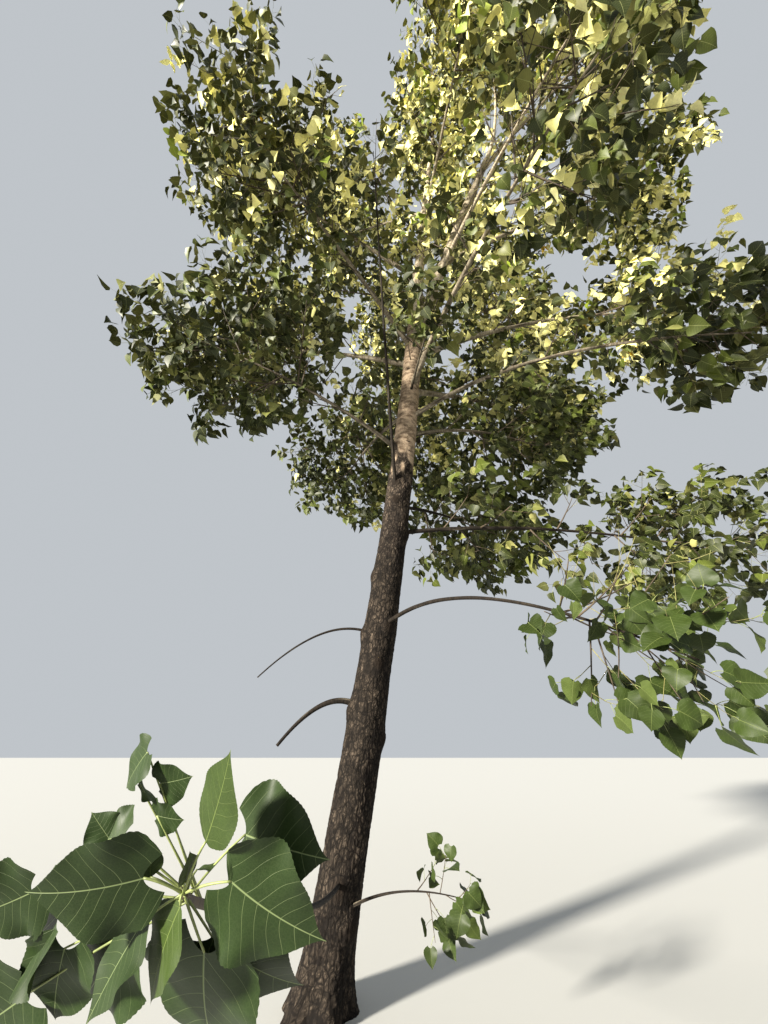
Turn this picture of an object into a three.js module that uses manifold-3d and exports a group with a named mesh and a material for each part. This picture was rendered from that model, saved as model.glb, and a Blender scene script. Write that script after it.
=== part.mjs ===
// Eastern cottonwood, a whole tree that stands in the ground, in millimetres, +Z up.
// The origin is the middle of the flat cut under the trunk, at ground level. +X is to the right
// of someone who looks along +Y, and headings turn from +X towards +Y.
// The trunk leans to the right and forks into two leaders. Boughs leave them on all sides, and
// each bough ends where its path enters a mass of foliage. The rest of that path is the stem of
// the mass, from which branches and leaf blades grow by a seeded rule. Each blade is as large as
// a spray of the real leaves, which are too many to model one by one.

import * as THREE from "three";
import { mergeVertices } from "three/addons/utils/BufferGeometryUtils.js";
import Module from "manifold-3d";

const wasm = await Module();
wasm.setup();
const { Manifold } = wasm;

// Trunk
const FORK_HEIGHT = 7700;
const FORK_SHIFT = 980; // how far the fork stands to the right of the foot
const LOW_SHIFT = 674; // the same for the bend point, halfway up: the lower trunk leans more
const BREAST_HEIGHT = 1300;
const BREAST_RADIUS = 168;
const FORK_RADIUS = 134;
const FLARE = 80; // how much wider the foot is than the trunk above it
const FLARE_HEIGHT = 190;
const ROOT_RIDGES = 5;
const RIDGE_DEPTH = 0.42; // share of the flare that the root ridges take
const BURIED_SHARE = 0.03; // the trunk is made this much too long below and then cut flat

// Limbs
const BEND_AT = 0.45; // the bend point's share of an arm's reach

// Clearances
const SEAT_GAP = 0.3; // between a limb and what it grows from
const KEEP_OUT = 6; // between any limb and the twigs and leaves that pass it
const CELL_GAP = 8; // between the spaces of two masses

// Growth inside a mass
const SEED = 11;
const STEM_SIDES = 5;
const TWIG_SIDES = 3;
const STEM_TURN = THREE.MathUtils.degToRad(144); // from one branch to the next round the stem
const TWIG_TURN = THREE.MathUtils.degToRad(120); // from one blade to the next round a branch
const STEM_FACE = THREE.MathUtils.degToRad(54); // where the middle of a flat side is
const TWIG_FACE = THREE.MathUtils.degToRad(30);
const BRANCHES = 5;
const SIDE_BLADES = 3; // on each branch, besides the one at its tip
const BLADE_SHARE = 0.62; // a blade's length, as a share of the mass's spread
const BLADE_WIDTH = 0.92; // as a share of the blade's length
const BLADE_THICKNESS = 0.024; // as a share of the blade's length
const WIDEST_AT = 0.34; // where along its length a blade is widest: the leaf is deltoid
const STEM_END = 0.4; // how far the stem ends beyond the mass's middle, as a share of its spread

// Each arm leaves the limb named by "on", at a share of that limb's length. Its path ends at the
// given reach and rise from there. "lift" is how high its bend point lies above its start, and
// "thick" and "thin" are its radii at its foot and its tip. Where "spread" is given, the path
// ends in a mass that reaches so far sideways from its middle, and "depth" up and down.
const ARMS = [
  { where: "leader_left", on: "trunk", at: 1, heading: -47, reach: 1360, rise: 8900,
    thick: 118, thin: 42, spread: 1820, depth: 1990 },
  { where: "leader_right", on: "trunk", at: 0.95, heading: -27, reach: 1980, rise: 5290, lift: 2650,
    thick: 104, thin: 68 },
  { where: "upright", on: "leader_right", at: 1, heading: -88, reach: 1530, rise: 3300,
    thick: 50, thin: 24, spread: 1650, depth: 1820 },
  { where: "slant", on: "leader_right", at: 0.93, heading: -37, reach: 3380, rise: 1490, lift: 900,
    thick: 46, thin: 23, spread: 1850, depth: 1850 },
  { where: "high_left", on: "leader_left", at: 0.18, heading: -165, reach: 3720, rise: 2100, lift: 1260,
    thick: 48, thin: 24, spread: 2040, depth: 1820 },
  { where: "high_back", on: "leader_left", at: 0.24, heading: 96, reach: 3730, rise: 2170, lift: 1300,
    thick: 48, thin: 24, spread: 2040, depth: 1820 },
  { where: "high_front", on: "leader_left", at: 0.34, heading: -77, reach: 3660, rise: 1990, lift: 1250,
    thick: 44, thin: 22, spread: 1710, depth: 1650 },
  { where: "peak_left", on: "leader_left", at: 0.46, heading: 147, reach: 3010, rise: 2550, lift: 1300,
    thick: 42, thin: 22, spread: 1930, depth: 1880 },
  { where: "high_right", on: "leader_right", at: 0.38, heading: -10, reach: 4130, rise: 1770, lift: 1100,
    thick: 50, thin: 25, spread: 1850, depth: 1650 },
  { where: "high_right_back", on: "leader_right", at: 0.5, heading: 51, reach: 4400, rise: 1990, lift: 1200,
    thick: 48, thin: 24, spread: 2040, depth: 1820 },
  { where: "high_right_front", on: "leader_right", at: 0.33, heading: -61, reach: 4030, rise: 750, lift: 900,
    thick: 44, thin: 23, spread: 1500, depth: 1400 },
  { where: "peak_back", on: "leader_right", at: 0.8, heading: 67, reach: 3210, rise: 2940, lift: 1500,
    thick: 42, thin: 22, spread: 1930, depth: 1880 },
  { where: "mid_right", on: "trunk", at: 0.9, heading: -3, reach: 4630, rise: 920, lift: 1250,
    thick: 50, thin: 25, spread: 1700, depth: 1150 },
  { where: "mid_right_front", on: "trunk", at: 0.8, heading: -68, reach: 3590, rise: 150, lift: 750,
    thick: 46, thin: 24, spread: 1200, depth: 1050 },
  { where: "mid_left_front", on: "trunk", at: 0.93, heading: -137, reach: 3590, rise: 1890, lift: 1050,
    thick: 44, thin: 23, spread: 1600, depth: 1540 },
  { where: "mid_left", on: "trunk", at: 0.88, heading: 162, reach: 3790, rise: 2170, lift: 1200,
    thick: 48, thin: 24, spread: 2040, depth: 1710 },
  { where: "mid_back", on: "trunk", at: 0.83, heading: 83, reach: 4160, rise: 2220, lift: 1250,
    thick: 48, thin: 24, spread: 1980, depth: 1710 },
  { where: "mid_right_back", on: "trunk", at: 0.8, heading: 38, reach: 4540, rise: 2200, lift: 1300,
    thick: 48, thin: 24, spread: 1930, depth: 1650 },
  { where: "fork_front", on: "trunk", at: 0.78, heading: -79, reach: 1430, rise: 160, lift: 250,
    thick: 24, thin: 14, spread: 780, depth: 680 },
  { where: "low_right_front", on: "trunk", at: 0.72, heading: -25, reach: 3820, rise: -370, lift: 800,
    thick: 34, thin: 18, spread: 950, depth: 600 },
  { where: "low_right", on: "trunk", at: 0.68, heading: 25, reach: 2890, rise: 810, lift: 900,
    thick: 36, thin: 19, spread: 1400, depth: 1250 },
  { where: "low_back", on: "trunk", at: 0.74, heading: 114, reach: 3120, rise: 800, lift: 800,
    thick: 34, thin: 19, spread: 1650, depth: 1370 },
  { where: "low_left", on: "trunk", at: 0.64, heading: -161, reach: 2950, rise: 1150, lift: 950,
    thick: 32, thin: 18, spread: 1540, depth: 1310 },
  { where: "hanging_right", on: "trunk", at: 0.48, heading: 2, reach: 4030, rise: -190, lift: 280,
    thick: 28, thin: 15, spread: 1450, depth: 720 },
  { where: "hanging_back", on: "trunk", at: 0.53, heading: 54, reach: 3440, rise: 1070, lift: 700,
    thick: 26, thin: 14, spread: 1600, depth: 1200 },
  { where: "rising_left", on: "trunk", at: 0.53, heading: -99, reach: 2030, rise: 4940, lift: 1530,
    thick: 24, thin: 11, spread: 850, depth: 820 },
  { where: "near_right", on: "trunk", at: 0.335, heading: -58, reach: 2650, rise: -740, lift: 280,
    thick: 22, thin: 10, spread: 700, depth: 620 },
  { where: "sprout_front", on: "trunk", at: 0.085, heading: -89, reach: 3470, rise: 730, lift: 180,
    thick: 17, thin: 7, spread: 240, depth: 220 },
  { where: "sprout_foot", on: "trunk", at: 0.06, heading: -40, reach: 1160, rise: 270, lift: 300,
    thick: 13, thin: 6, spread: 380, depth: 340 },
  { where: "bare_left", on: "trunk", at: 0.235, heading: 188, reach: 780, rise: -260, lift: 290,
    thick: 32, thin: 13 },
  { where: "bare_high", on: "trunk", at: 0.325, heading: 184, reach: 1150, rise: -400, lift: 260,
    thick: 15, thin: 6 },
];

const limbName = (arm) => (arm.where.startsWith("leader") ? arm.where : `bough_${arm.where}`);
const massName = (arm) => `leaves_${arm.where.replace("leader_left", "top")}`;

// The same draws on every run, from 0 up to 1
function seeded(seed) {
  let state = seed >>> 0;
  return () => {
    state = (state + 0x6d2b79f5) >>> 0;
    let mixed = Math.imul(state ^ (state >>> 15), state | 1);
    mixed ^= mixed + Math.imul(mixed ^ (mixed >>> 7), mixed | 61);
    return ((mixed ^ (mixed >>> 14)) >>> 0) / 4294967296;
  };
}

// A path is a curve that bends one way, from its foot past a bend point to its end. Its frame
// has one side that stays square to the plane of the bend, so nothing carried along it twists.
class Path {
  constructor(foot, bend, end) {
    this.foot = foot;
    this.bend = bend;
    this.end = end;
    const first = bend.clone().sub(foot);
    const last = end.clone().sub(bend);
    this.across = new THREE.Vector3().crossVectors(first, last);
    if (this.across.length() < 1e-6 * first.length() * last.length()) {
      this.across.crossVectors(first, new THREE.Vector3(0.3, 1, 0.1));
    }
    this.across.normalize();
  }
  point(share) {
    const rest = 1 - share;
    return this.foot
      .clone()
      .multiplyScalar(rest * rest)
      .addScaledVector(this.bend, 2 * rest * share)
      .addScaledVector(this.end, share * share);
  }
  along(share) {
    return this.bend
      .clone()
      .sub(this.foot)
      .multiplyScalar(1 - share)
      .add(this.end.clone().sub(this.bend).multiplyScalar(share))
      .normalize();
  }
  sideways(share, roll) {
    const out = new THREE.Vector3().crossVectors(this.along(share), this.across);
    return out.multiplyScalar(Math.cos(roll)).addScaledVector(this.across, Math.sin(roll));
  }
  length(from, to) {
    return this.point(from).distanceTo(this.point(to));
  }
}

// A closed geometry as a solid, once only its positions are left
function solidOf(geometry) {
  geometry.deleteAttribute("normal");
  geometry.deleteAttribute("uv");
  const merged = mergeVertices(geometry, 1e-4);
  return new Manifold(
    new wasm.Mesh({
      numProp: 3,
      vertProperties: merged.getAttribute("position").array,
      triVerts: new Uint32Array(merged.index.array),
    }),
  );
}

// A cylinder bent along a path from one share to another, with its ends square to the path.
// "extra" lengthens both ends, and a positive "crowd" moves the rings towards the foot.
function tube(path, radiusAt, { from = 0, to = 1, sides = 8, steps = 6, extra = 0, crowd = 1 }) {
  const geometry = new THREE.CylinderGeometry(1, 1, 1, sides, steps);
  const place = geometry.getAttribute("position");
  for (let i = 0; i < place.count; i++) {
    const part = place.getY(i) + 0.5;
    const share = from + (to - from) * part ** crowd;
    const roll = Math.atan2(place.getZ(i), place.getX(i));
    const onAxis = Math.hypot(place.getX(i), place.getZ(i)) < 0.5;
    const spot = path.point(share);
    if (part < 1e-6) spot.addScaledVector(path.along(share), -extra);
    if (part > 1 - 1e-6) spot.addScaledVector(path.along(share), extra);
    if (!onAxis) spot.addScaledVector(path.sideways(share, roll), radiusAt(share, roll));
    place.setXYZ(i, spot.x, spot.y, spot.z);
  }
  return solidOf(geometry);
}

// The trunk's path, and its radius with the root flare and its ridges
const trunkPath = new Path(
  new THREE.Vector3(0, 0, 0),
  new THREE.Vector3(LOW_SHIFT, 0, FORK_HEIGHT / 2),
  new THREE.Vector3(FORK_SHIFT, 0, FORK_HEIGHT),
);

function trunkRadius(share, roll) {
  const height = Math.max(share, 0) * FORK_HEIGHT;
  const taper = (BREAST_RADIUS - FORK_RADIUS) / (FORK_HEIGHT - BREAST_HEIGHT);
  const plain = BREAST_RADIUS + taper * (BREAST_HEIGHT - height);
  const flare = FLARE * Math.exp(-height / FLARE_HEIGHT);
  return plain + flare * (1 + RIDGE_DEPTH * Math.cos(ROOT_RIDGES * roll + 0.6));
}

function trunkSolid(grow) {
  const radius = (share, roll) => trunkRadius(share, roll) + grow;
  const shape = { from: -BURIED_SHARE, sides: 20, steps: 14, extra: grow, crowd: 1.7 };
  return tube(trunkPath, radius, shape).trimByPlane([0, 0, 1], 0);
}

// Where an arm's path runs, from its place on the limb that carries it
function armPath(arm, carrier) {
  const turn = THREE.MathUtils.degToRad(arm.heading);
  const flat = new THREE.Vector3(Math.cos(turn), Math.sin(turn), 0);
  const start = carrier.path.point(arm.at);
  const end = start.clone().addScaledVector(flat, arm.reach);
  end.z += arm.rise;
  if (arm.at === 1) {
    const lead = carrier.path.along(1);
    start.addScaledVector(lead, SEAT_GAP);
    return new Path(start, start.clone().addScaledVector(lead, end.distanceTo(start) / 2), end);
  }
  const bend = start.clone().addScaledVector(flat, arm.reach * BEND_AT);
  bend.z += arm.lift;
  return new Path(start, bend, end);
}

// A mass's space is an ellipsoid whose middle lies a little short of the path's end
function spaceOf(arm, path) {
  const middle = path.end.clone().addScaledVector(path.along(1), -STEM_END * arm.spread);
  return { middle, spread: arm.spread, depth: arm.depth, size: (2 * arm.spread + arm.depth) / 3 };
}

function insideEllipsoid(space, point, share = 1) {
  const off = point.clone().sub(space.middle);
  const flat = Math.hypot(off.x, off.y) / space.spread;
  return Math.hypot(flat, off.z / space.depth) <= share;
}

// The share of the path at which the bough ends and the mass's stem takes over
function entryShare(path, space) {
  let share = 0.2;
  while (share < 0.9 && !insideEllipsoid(space, path.point(share), 0.78)) share += 0.004;
  return share;
}

const limbs = new Map();
limbs.set("trunk", { path: trunkPath, to: 1, solid: trunkSolid(0), grown: trunkSolid(SEAT_GAP) });
limbs.get("trunk").clear = trunkSolid(KEEP_OUT);

const masses = [];

// Limbs are made in order, and each is cut clear of those before it
for (const arm of ARMS) {
  const path = armPath(arm, limbs.get(arm.on));
  const space = arm.spread ? spaceOf(arm, path) : null;
  const to = space ? entryShare(path, space) : 1;
  const collar = arm.thick * 0.5;
  const radius = (share) => {
    const part = Math.min(Math.max(share / to, 0), 1);
    const swell = collar * Math.exp(-part * path.length(0, to) / (arm.thick * 2.5));
    return arm.thick + (arm.thin - arm.thick) * part + (arm.at === 1 ? 0 : swell);
  };
  const sides = arm.thick > 60 ? 12 : 6;
  const steps = arm.thick > 60 ? 8 : 4;
  const make = (grow) =>
    tube(path, (share) => radius(share) + grow, { to, sides, steps, extra: grow, crowd: 1.2 });
  let solid = make(0);
  if (arm.at !== 1) {
    const before = Manifold.union([...limbs.values()].map((limb) => limb.grown));
    const pieces = solid.subtract(before).decompose();
    solid = pieces.sort((a, b) => b.volume() - a.volume())[0];
  }
  limbs.set(limbName(arm), { path, to, solid, grown: make(SEAT_GAP), clear: make(KEEP_OUT), arm });
  if (space) masses.push({ arm, path, space, to });
}

const noGo = Manifold.union([...limbs.values()].map((limb) => limb.clear));

// Between two masses a plane divides the room in proportion to their sizes
masses.forEach((mass, index) => {
  mass.walls = masses
    .filter((other) => other !== mass)
    .map((other) => {
      const normal = other.space.middle.clone().sub(mass.space.middle);
      const apart = normal.length();
      const share = mass.space.size / (mass.space.size + other.space.size);
      return { normal: normal.divideScalar(apart), offset: apart * share - CELL_GAP / 2 };
    });
  mass.draw = seeded(SEED + index * 101);
});

function inSpace(mass, solid) {
  const { vertProperties, numProp } = solid.getMesh();
  for (let i = 0; i < vertProperties.length; i += numProp) {
    const point = new THREE.Vector3().fromArray(vertProperties, i);
    if (point.z < CELL_GAP || !insideEllipsoid(mass.space, point)) return false;
    point.sub(mass.space.middle);
    if (mass.walls.some((wall) => point.dot(wall.normal) > wall.offset)) return false;
  }
  return true;
}

const fits = (mass, solid) => inSpace(mass, solid) && solid.intersect(noGo).isEmpty();

// How far the ellipsoid reaches from a point in a direction
function room(space, point, direction) {
  const stretch = new THREE.Vector3(1 / space.spread, 1 / space.spread, 1 / space.depth);
  const off = point.clone().sub(space.middle).multiply(stretch);
  const way = direction.clone().multiply(stretch);
  const a = way.dot(way);
  const b = off.dot(way);
  const c = off.dot(off) - 1;
  return (-b + Math.sqrt(Math.max(b * b - a * c, 0))) / a;
}

// A leaf blade: a thin deltoid kite folded on its midrib. "flat" is a direction in its plane.
function blade(root, direction, flat, length) {
  const normal = new THREE.Vector3().crossVectors(direction, flat).normalize();
  const across = new THREE.Vector3().crossVectors(normal, direction);
  const geometry = new THREE.TetrahedronGeometry(Math.sqrt(3));
  const place = geometry.getAttribute("position");
  for (let i = 0; i < place.count; i++) {
    const spot = root.clone();
    if (place.getZ(i) > 0) {
      spot.addScaledVector(direction, place.getX(i) > 0 ? length : 0);
    } else {
      spot.addScaledVector(direction, WIDEST_AT * length);
      spot.addScaledVector(across, (Math.sign(place.getY(i)) * BLADE_WIDTH * length) / 2);
      spot.addScaledVector(normal, -BLADE_THICKNESS * length);
    }
    place.setXYZ(i, spot.x, spot.y, spot.z);
  }
  return solidOf(geometry);
}

// A direction that leans away from an axis by "open", with the turn round it given by "side"
function lean(axis, side, open) {
  return axis.clone().multiplyScalar(Math.cos(open)).addScaledVector(side, Math.sin(open));
}

// One mass: its stem, the branches round it and the blades on them, fused into one solid
function growMass(mass) {
  const { arm, path, space, to, draw } = mass;
  const between = (low, high) => low + (high - low) * draw();
  const start = to + SEAT_GAP / (path.length(to, to + 0.01) * 100);
  const middle = (start + 1) / 2;
  const stemRadius = (share) => arm.thin * (1 - (0.6 * (share - to)) / (1 - to));
  const stem = tube(path, stemRadius, { from: start, sides: STEM_SIDES, steps: 2 });
  const pieces = [stem];
  const free = (made, own) =>
    fits(mass, made) && pieces.every((piece) => piece === own || piece.intersect(made).isEmpty());

  // The stem is made of two straight lengths, so a branch's foot lies on one of them
  const onStem = (share) => {
    const [low, high] = share < middle ? [start, middle] : [middle, 1];
    return path.point(low).lerp(path.point(high), (share - low) / (high - low));
  };

  // A blade that would cross anything but its own twig is made smaller, or else left out
  const addBlade = (own, root, direction, flat, size) => {
    for (const share of [1, 0.8, 0.62, 0.48]) {
      const made = blade(root, direction, flat, size * share * BLADE_SHARE * arm.spread);
      if (!free(made, own)) continue;
      pieces.push(made);
      return;
    }
  };

  // All of a branch's draws come before its tests, so what is left out changes no later branch
  for (let k = 0; k < BRANCHES; k++) {
    const part = (k + between(0.25, 0.75)) / BRANCHES;
    const tilt = THREE.MathUtils.degToRad(between(66, 78) - 26 * part);
    const roll = STEM_FACE + k * STEM_TURN + between(-0.15, 0.15);
    const filled = between(0.6, 0.7);
    const side = Array.from({ length: SIDE_BLADES }, (_, j) => ({
      at: 0.3 + (0.56 * (j + draw())) / SIDE_BLADES,
      open: THREE.MathUtils.degToRad(between(46, 70)),
      turn: TWIG_FACE + (j + k) * TWIG_TURN + between(-0.2, 0.2),
      size: between(0.85, 1.12),
    }));
    const tipSize = between(0.85, 1.12);

    const share = to + (1 - to) * (0.08 + 0.84 * part);
    const foot = onStem(share);
    const way = lean(path.along(share), path.sideways(share, roll), tilt);
    const reach = filled * room(space, foot, way);
    const thick = 0.75 * stemRadius(share);
    let twig = null;
    let branch = null;
    for (const shorter of [1, 0.7, 0.45]) {
      const end = foot.clone().addScaledVector(way, reach * shorter);
      twig = new Path(foot, foot.clone().lerp(end, 0.5), end);
      branch = tube(twig, (along) => thick * (1 - 0.45 * along), { sides: TWIG_SIDES, steps: 1 });
      if (free(branch, stem)) break;
      branch = null;
    }
    if (!branch) continue;
    pieces.push(branch);
    const level = new THREE.Vector3().crossVectors(way, new THREE.Vector3(0, 0, 1)).normalize();
    addBlade(branch, twig.point(0.985), way, lean(level, twig.sideways(1, k), 0.5), tipSize);
    for (const { at, open, turn, size } of side) {
      addBlade(branch, twig.point(at), lean(way, twig.sideways(at, turn), open), way, size);
    }
  }
  const across = path.sideways(1, between(0, 3));
  addBlade(stem, path.point(0.99), path.along(1), across, between(0.85, 1.12));

  const bodies = Manifold.union(pieces).decompose();
  return bodies.sort((a, b) => b.volume() - a.volume())[0];
}

// A solid as a named mesh in its own colour
function mesh(name, solid, color, roughness) {
  const { vertProperties, triVerts } = solid.getMesh();
  const geometry = new THREE.BufferGeometry()
    .setAttribute("position", new THREE.BufferAttribute(vertProperties, 3))
    .setIndex(new THREE.BufferAttribute(triVerts, 1));
  geometry.computeVertexNormals();
  const material = new THREE.MeshStandardMaterial({ color, roughness, metalness: 0 });
  const made = new THREE.Mesh(geometry, material);
  made.name = name;
  return made;
}

const FURROWED_BARK = 0x6f6257;
const SMOOTH_BARK = 0xa89b88;
const LEAF_GREENS = [0x6f8447, 0x7d8f52, 0x8c9a60];

const tree = new THREE.Group();
for (const [name, limb] of limbs) {
  tree.add(mesh(name, limb.solid, name === "trunk" ? FURROWED_BARK : SMOOTH_BARK, 0.85));
}
masses.forEach((mass, index) => {
  tree.add(mesh(massName(mass.arm), growMass(mass), LEAF_GREENS[index % LEAF_GREENS.length], 0.6));
});

export default tree;
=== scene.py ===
# %% [markdown]
# # An eastern cottonwood
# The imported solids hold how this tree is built: a leaning trunk that forks into two leaders,
# thin boughs on all sides, and the reach of each mass of foliage. A solid can't show bark or
# forty-seven thousand leaves. This lesson makes both, on the very same paths, so that every twig
# still starts on the limb that carries it.

# %% Load the frame
from collections import namedtuple
from itertools import islice, product

import bpy
import numpy as np
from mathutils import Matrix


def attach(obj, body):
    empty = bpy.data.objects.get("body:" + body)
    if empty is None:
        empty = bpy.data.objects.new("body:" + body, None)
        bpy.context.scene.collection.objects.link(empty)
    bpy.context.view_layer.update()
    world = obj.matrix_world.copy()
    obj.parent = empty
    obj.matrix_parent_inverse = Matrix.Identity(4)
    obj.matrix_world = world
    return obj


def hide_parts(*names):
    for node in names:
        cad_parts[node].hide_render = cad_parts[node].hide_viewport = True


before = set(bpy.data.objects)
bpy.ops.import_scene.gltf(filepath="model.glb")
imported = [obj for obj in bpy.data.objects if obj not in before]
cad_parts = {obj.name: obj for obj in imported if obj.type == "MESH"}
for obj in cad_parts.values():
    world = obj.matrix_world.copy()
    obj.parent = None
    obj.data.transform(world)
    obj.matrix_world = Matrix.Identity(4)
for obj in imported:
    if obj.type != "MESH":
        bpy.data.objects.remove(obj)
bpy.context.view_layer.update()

# %% [markdown]
# ## The camera
# The photograph looks steeply up from eye height, four metres in front of the trunk, with a very
# wide lens. The camera could be tuned by eye until the outlines agree. Here it is set from
# numbers that were worked out once from how the trunk shrinks upwards: the eye's place, its tilt
# and the focal length in pixels of an image 1024 pixels high.

# %% Camera
EYE = (0.45, -4.0, 1.5)
TILT_UP = np.radians(32)
FOCAL_PIXELS = 385
IMAGE_HIGH = 1024
SENSOR = 36
SEEN_FROM = 0.05
SEEN_TO = 500


def placed(name, data):
    """An object in the scene that holds a mesh, a lamp or a camera."""
    made = bpy.data.objects.new(name, data)
    bpy.context.scene.collection.objects.link(made)
    return made


camera = placed("camera", bpy.data.cameras.new("camera"))
camera.location = EYE
camera.rotation_euler = (np.pi / 2 + TILT_UP, 0, 0)
camera.data.sensor_width = SENSOR
camera.data.lens = FOCAL_PIXELS * SENSOR / IMAGE_HIGH
camera.data.clip_start = SEEN_FROM
camera.data.clip_end = SEEN_TO
bpy.context.scene.camera = camera
print("lens:", round(camera.data.lens, 2), "mm")

# %% [markdown]
# ## Nodes in a few words
# Every finish below is a small net of shader nodes. One helper adds a node, sets it and links
# its inputs, so that each material reads as a list of what it does. An input given as a value is
# set on the socket, and one given as another node's output is linked. A step that starts from
# an output goes into the net of that output.


# %% Helpers for nodes
def node(tree, kind, inputs=None, **settings):
    """A new shader node: settings are its properties, inputs its values or incoming links."""
    made = tree.nodes.new("ShaderNode" + kind)
    for name, value in settings.items():
        setattr(made, name, value)
    for name, value in (inputs or {}).items():
        if isinstance(value, bpy.types.NodeSocket):
            tree.links.new(value, made.inputs[name])
        else:
            made.inputs[name].default_value = value
    return made


def mixed(share, first, second):
    """The colour between two others, at a share from 0 to 1."""
    return node(share.id_data, "Mix", {0: share, 6: first, 7: second}, data_type="RGBA").outputs[2]


def worked(operation, *values):
    """One step of arithmetic on outputs and values."""
    tree = next(value for value in values if isinstance(value, bpy.types.NodeSocket)).id_data
    return node(tree, "Math", dict(enumerate(values)), operation=operation).outputs[0]


def vectored(operation, first, second):
    """One step of arithmetic on two vectors."""
    return node(first.id_data, "VectorMath", {0: first, 1: second}, operation=operation).outputs[0]


def ramped(value, low, high):
    """0 up to low, 1 from high on, and a smooth rise between."""
    inputs = {"Value": value, "From Min": low, "From Max": high}
    return node(value.id_data, "MapRange", inputs, interpolation_type="SMOOTHSTEP").outputs[0]


def stripe(off, narrow, wide):
    """1 up to a narrow distance off a line, 0 from a wide one on."""
    return worked("SUBTRACT", 1.0, ramped(off, narrow, wide))


def noise(place, scale, detail, output=0):
    """An uneven field over a place, with so many waves to its unit."""
    inputs = {"Vector": place, "Scale": scale, "Detail": detail}
    return node(place.id_data, "TexNoise", inputs).outputs[output]


print("helpers: node, mixed, worked, vectored, ramped, stripe, noise")

# %% [markdown]
# ## Colours, materials and groups
# Each material keeps a Principled shader of its own, and what never changes over the surface is
# set straight on it. What changes, its colour and a fine relief, is linked. An effect that
# several materials share is built once as a group with named inputs, which could also be drawn
# by hand in the shader editor.


# %% Helpers for materials
def rgba(red, green, blue):
    """A colour for a socket, from the 0 to 255 values that a picture editor shows."""
    share = np.array([red, green, blue]) / 255
    return (*np.where(share > 0.04045, ((share + 0.055) / 1.055) ** 2.4, share / 12.92), 1)


def new_material(name, **constants):
    """A material with a Principled shader; constants are set on the shader's own sockets."""
    material = bpy.data.materials.new(name)
    material.use_nodes = True
    shader = material.node_tree.nodes["Principled BSDF"]
    for socket, value in constants.items():
        shader.inputs[socket.replace("_", " ")].default_value = value
    return material, material.node_tree, shader


BUMP_STRENGTH = 0.8


def dress(shader, colour, heights, distance):
    """The shader's colour, and a fine relief in the shading on top of the mesh's own."""
    tree = colour.id_data
    tree.links.new(colour, shader.inputs["Base Color"])
    made = node(tree, "Bump", {"Height": heights, "Distance": distance, "Strength": BUMP_STRENGTH})
    tree.links.new(made.outputs[0], shader.inputs["Normal"])


def new_group(name, **inputs):
    """A node group with named inputs that puts out a colour and a height, and its two ends."""
    group = bpy.data.node_groups.new(name, "ShaderNodeTree")
    ends = [(socket.replace("_", " "), kind, "INPUT") for socket, kind in inputs.items()]
    for socket, kind, end in (*ends, ("Color", "Color", "OUTPUT"), ("Height", "Float", "OUTPUT")):
        group.interface.new_socket(name=socket, in_out=end, socket_type="NodeSocket" + kind)
    given = group.nodes.new("NodeGroupInput").outputs
    return group, given, group.nodes.new("NodeGroupOutput").inputs


print("helpers: rgba, new_material, dress, new_group")

# %% [markdown]
# ## Floor and light
# A studio would put the tree on a pale sweep under one large soft lamp, with a pale room around
# it to fill the shade. One lamp like the sun, widened to several degrees for soft shadow edges,
# lights all seventeen metres evenly, which an area lamp nearby wouldn't. It stands low on the
# left and behind the eye, so that it reaches the pale undersides of the leaves overhead.

# %% Floor and light
FLOOR_REACH = 150
TO_LAMP = np.array([-0.74, -0.62, 0.27])
LAMP_STRENGTH = 14.0
LAMP_WIDTH = np.radians(6)
LAMP_COLOUR = (1.0, 0.94, 0.82)
ROOM_STRENGTH = 0.65

floor_mesh = bpy.data.meshes.new("floor")
corners = [(x * FLOOR_REACH, y * FLOOR_REACH, 0) for x, y in ((-1, -1), (1, -1), (1, 1), (-1, 1))]
floor_mesh.from_pydata(corners, [], [(0, 1, 2, 3)])
floor = placed("floor", floor_mesh)
floor_paint, _, _ = new_material("pale floor", Roughness=0.9, Base_Color=rgba(190, 190, 187))
floor_mesh.materials.append(floor_paint)

lamp = placed("lamp", bpy.data.lights.new("lamp", "SUN"))
lamp.data.energy = LAMP_STRENGTH
lamp.data.angle = LAMP_WIDTH
lamp.data.color = LAMP_COLOUR
lamp_tilt = np.arctan2(np.hypot(TO_LAMP[0], TO_LAMP[1]), TO_LAMP[2])
lamp.rotation_euler = (lamp_tilt, 0, np.arctan2(TO_LAMP[0], -TO_LAMP[1]))

room = bpy.data.worlds.new("room")
room.use_nodes = True
room_light = room.node_tree.nodes["Background"].inputs
room_light["Color"].default_value = rgba(232, 238, 244)
room_light["Strength"].default_value = ROOM_STRENGTH
bpy.context.scene.world = room
bpy.context.scene.view_settings.view_transform = "Standard"
print("lamp:", LAMP_STRENGTH, "room:", ROOM_STRENGTH)

# %% [markdown]
# ## The driving sizes
# These are the numbers that the solids were built from, in metres. The paths are worked out from
# them again, because a curve is a far better guide for bark and twigs than the corners of a
# faceted solid. Each arm leaves the limb named by "on" at a share of its length, heads so many
# degrees from straight right, rises by the lift up to its bend, and ends at the given reach and
# rise. Where it has a spread it ends in a mass of foliage.

# %% Driving sizes
FORK_HEIGHT = 7.7
FORK_SHIFT = 0.98
LOW_SHIFT = 0.674
BREAST_HEIGHT = 1.3
BREAST_RADIUS = 0.168
FORK_RADIUS = 0.134
FLARE = 0.08
FLARE_HEIGHT = 0.19
ROOT_RIDGES = 5
RIDGE_DEPTH = 0.42
BEND_AT = 0.45
SEAT_GAP = 0.0003
STEM_END = 0.4
SEED = 11
BRANCHES = 5
SIDE_BLADES = 3
TAU = 2 * np.pi

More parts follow.
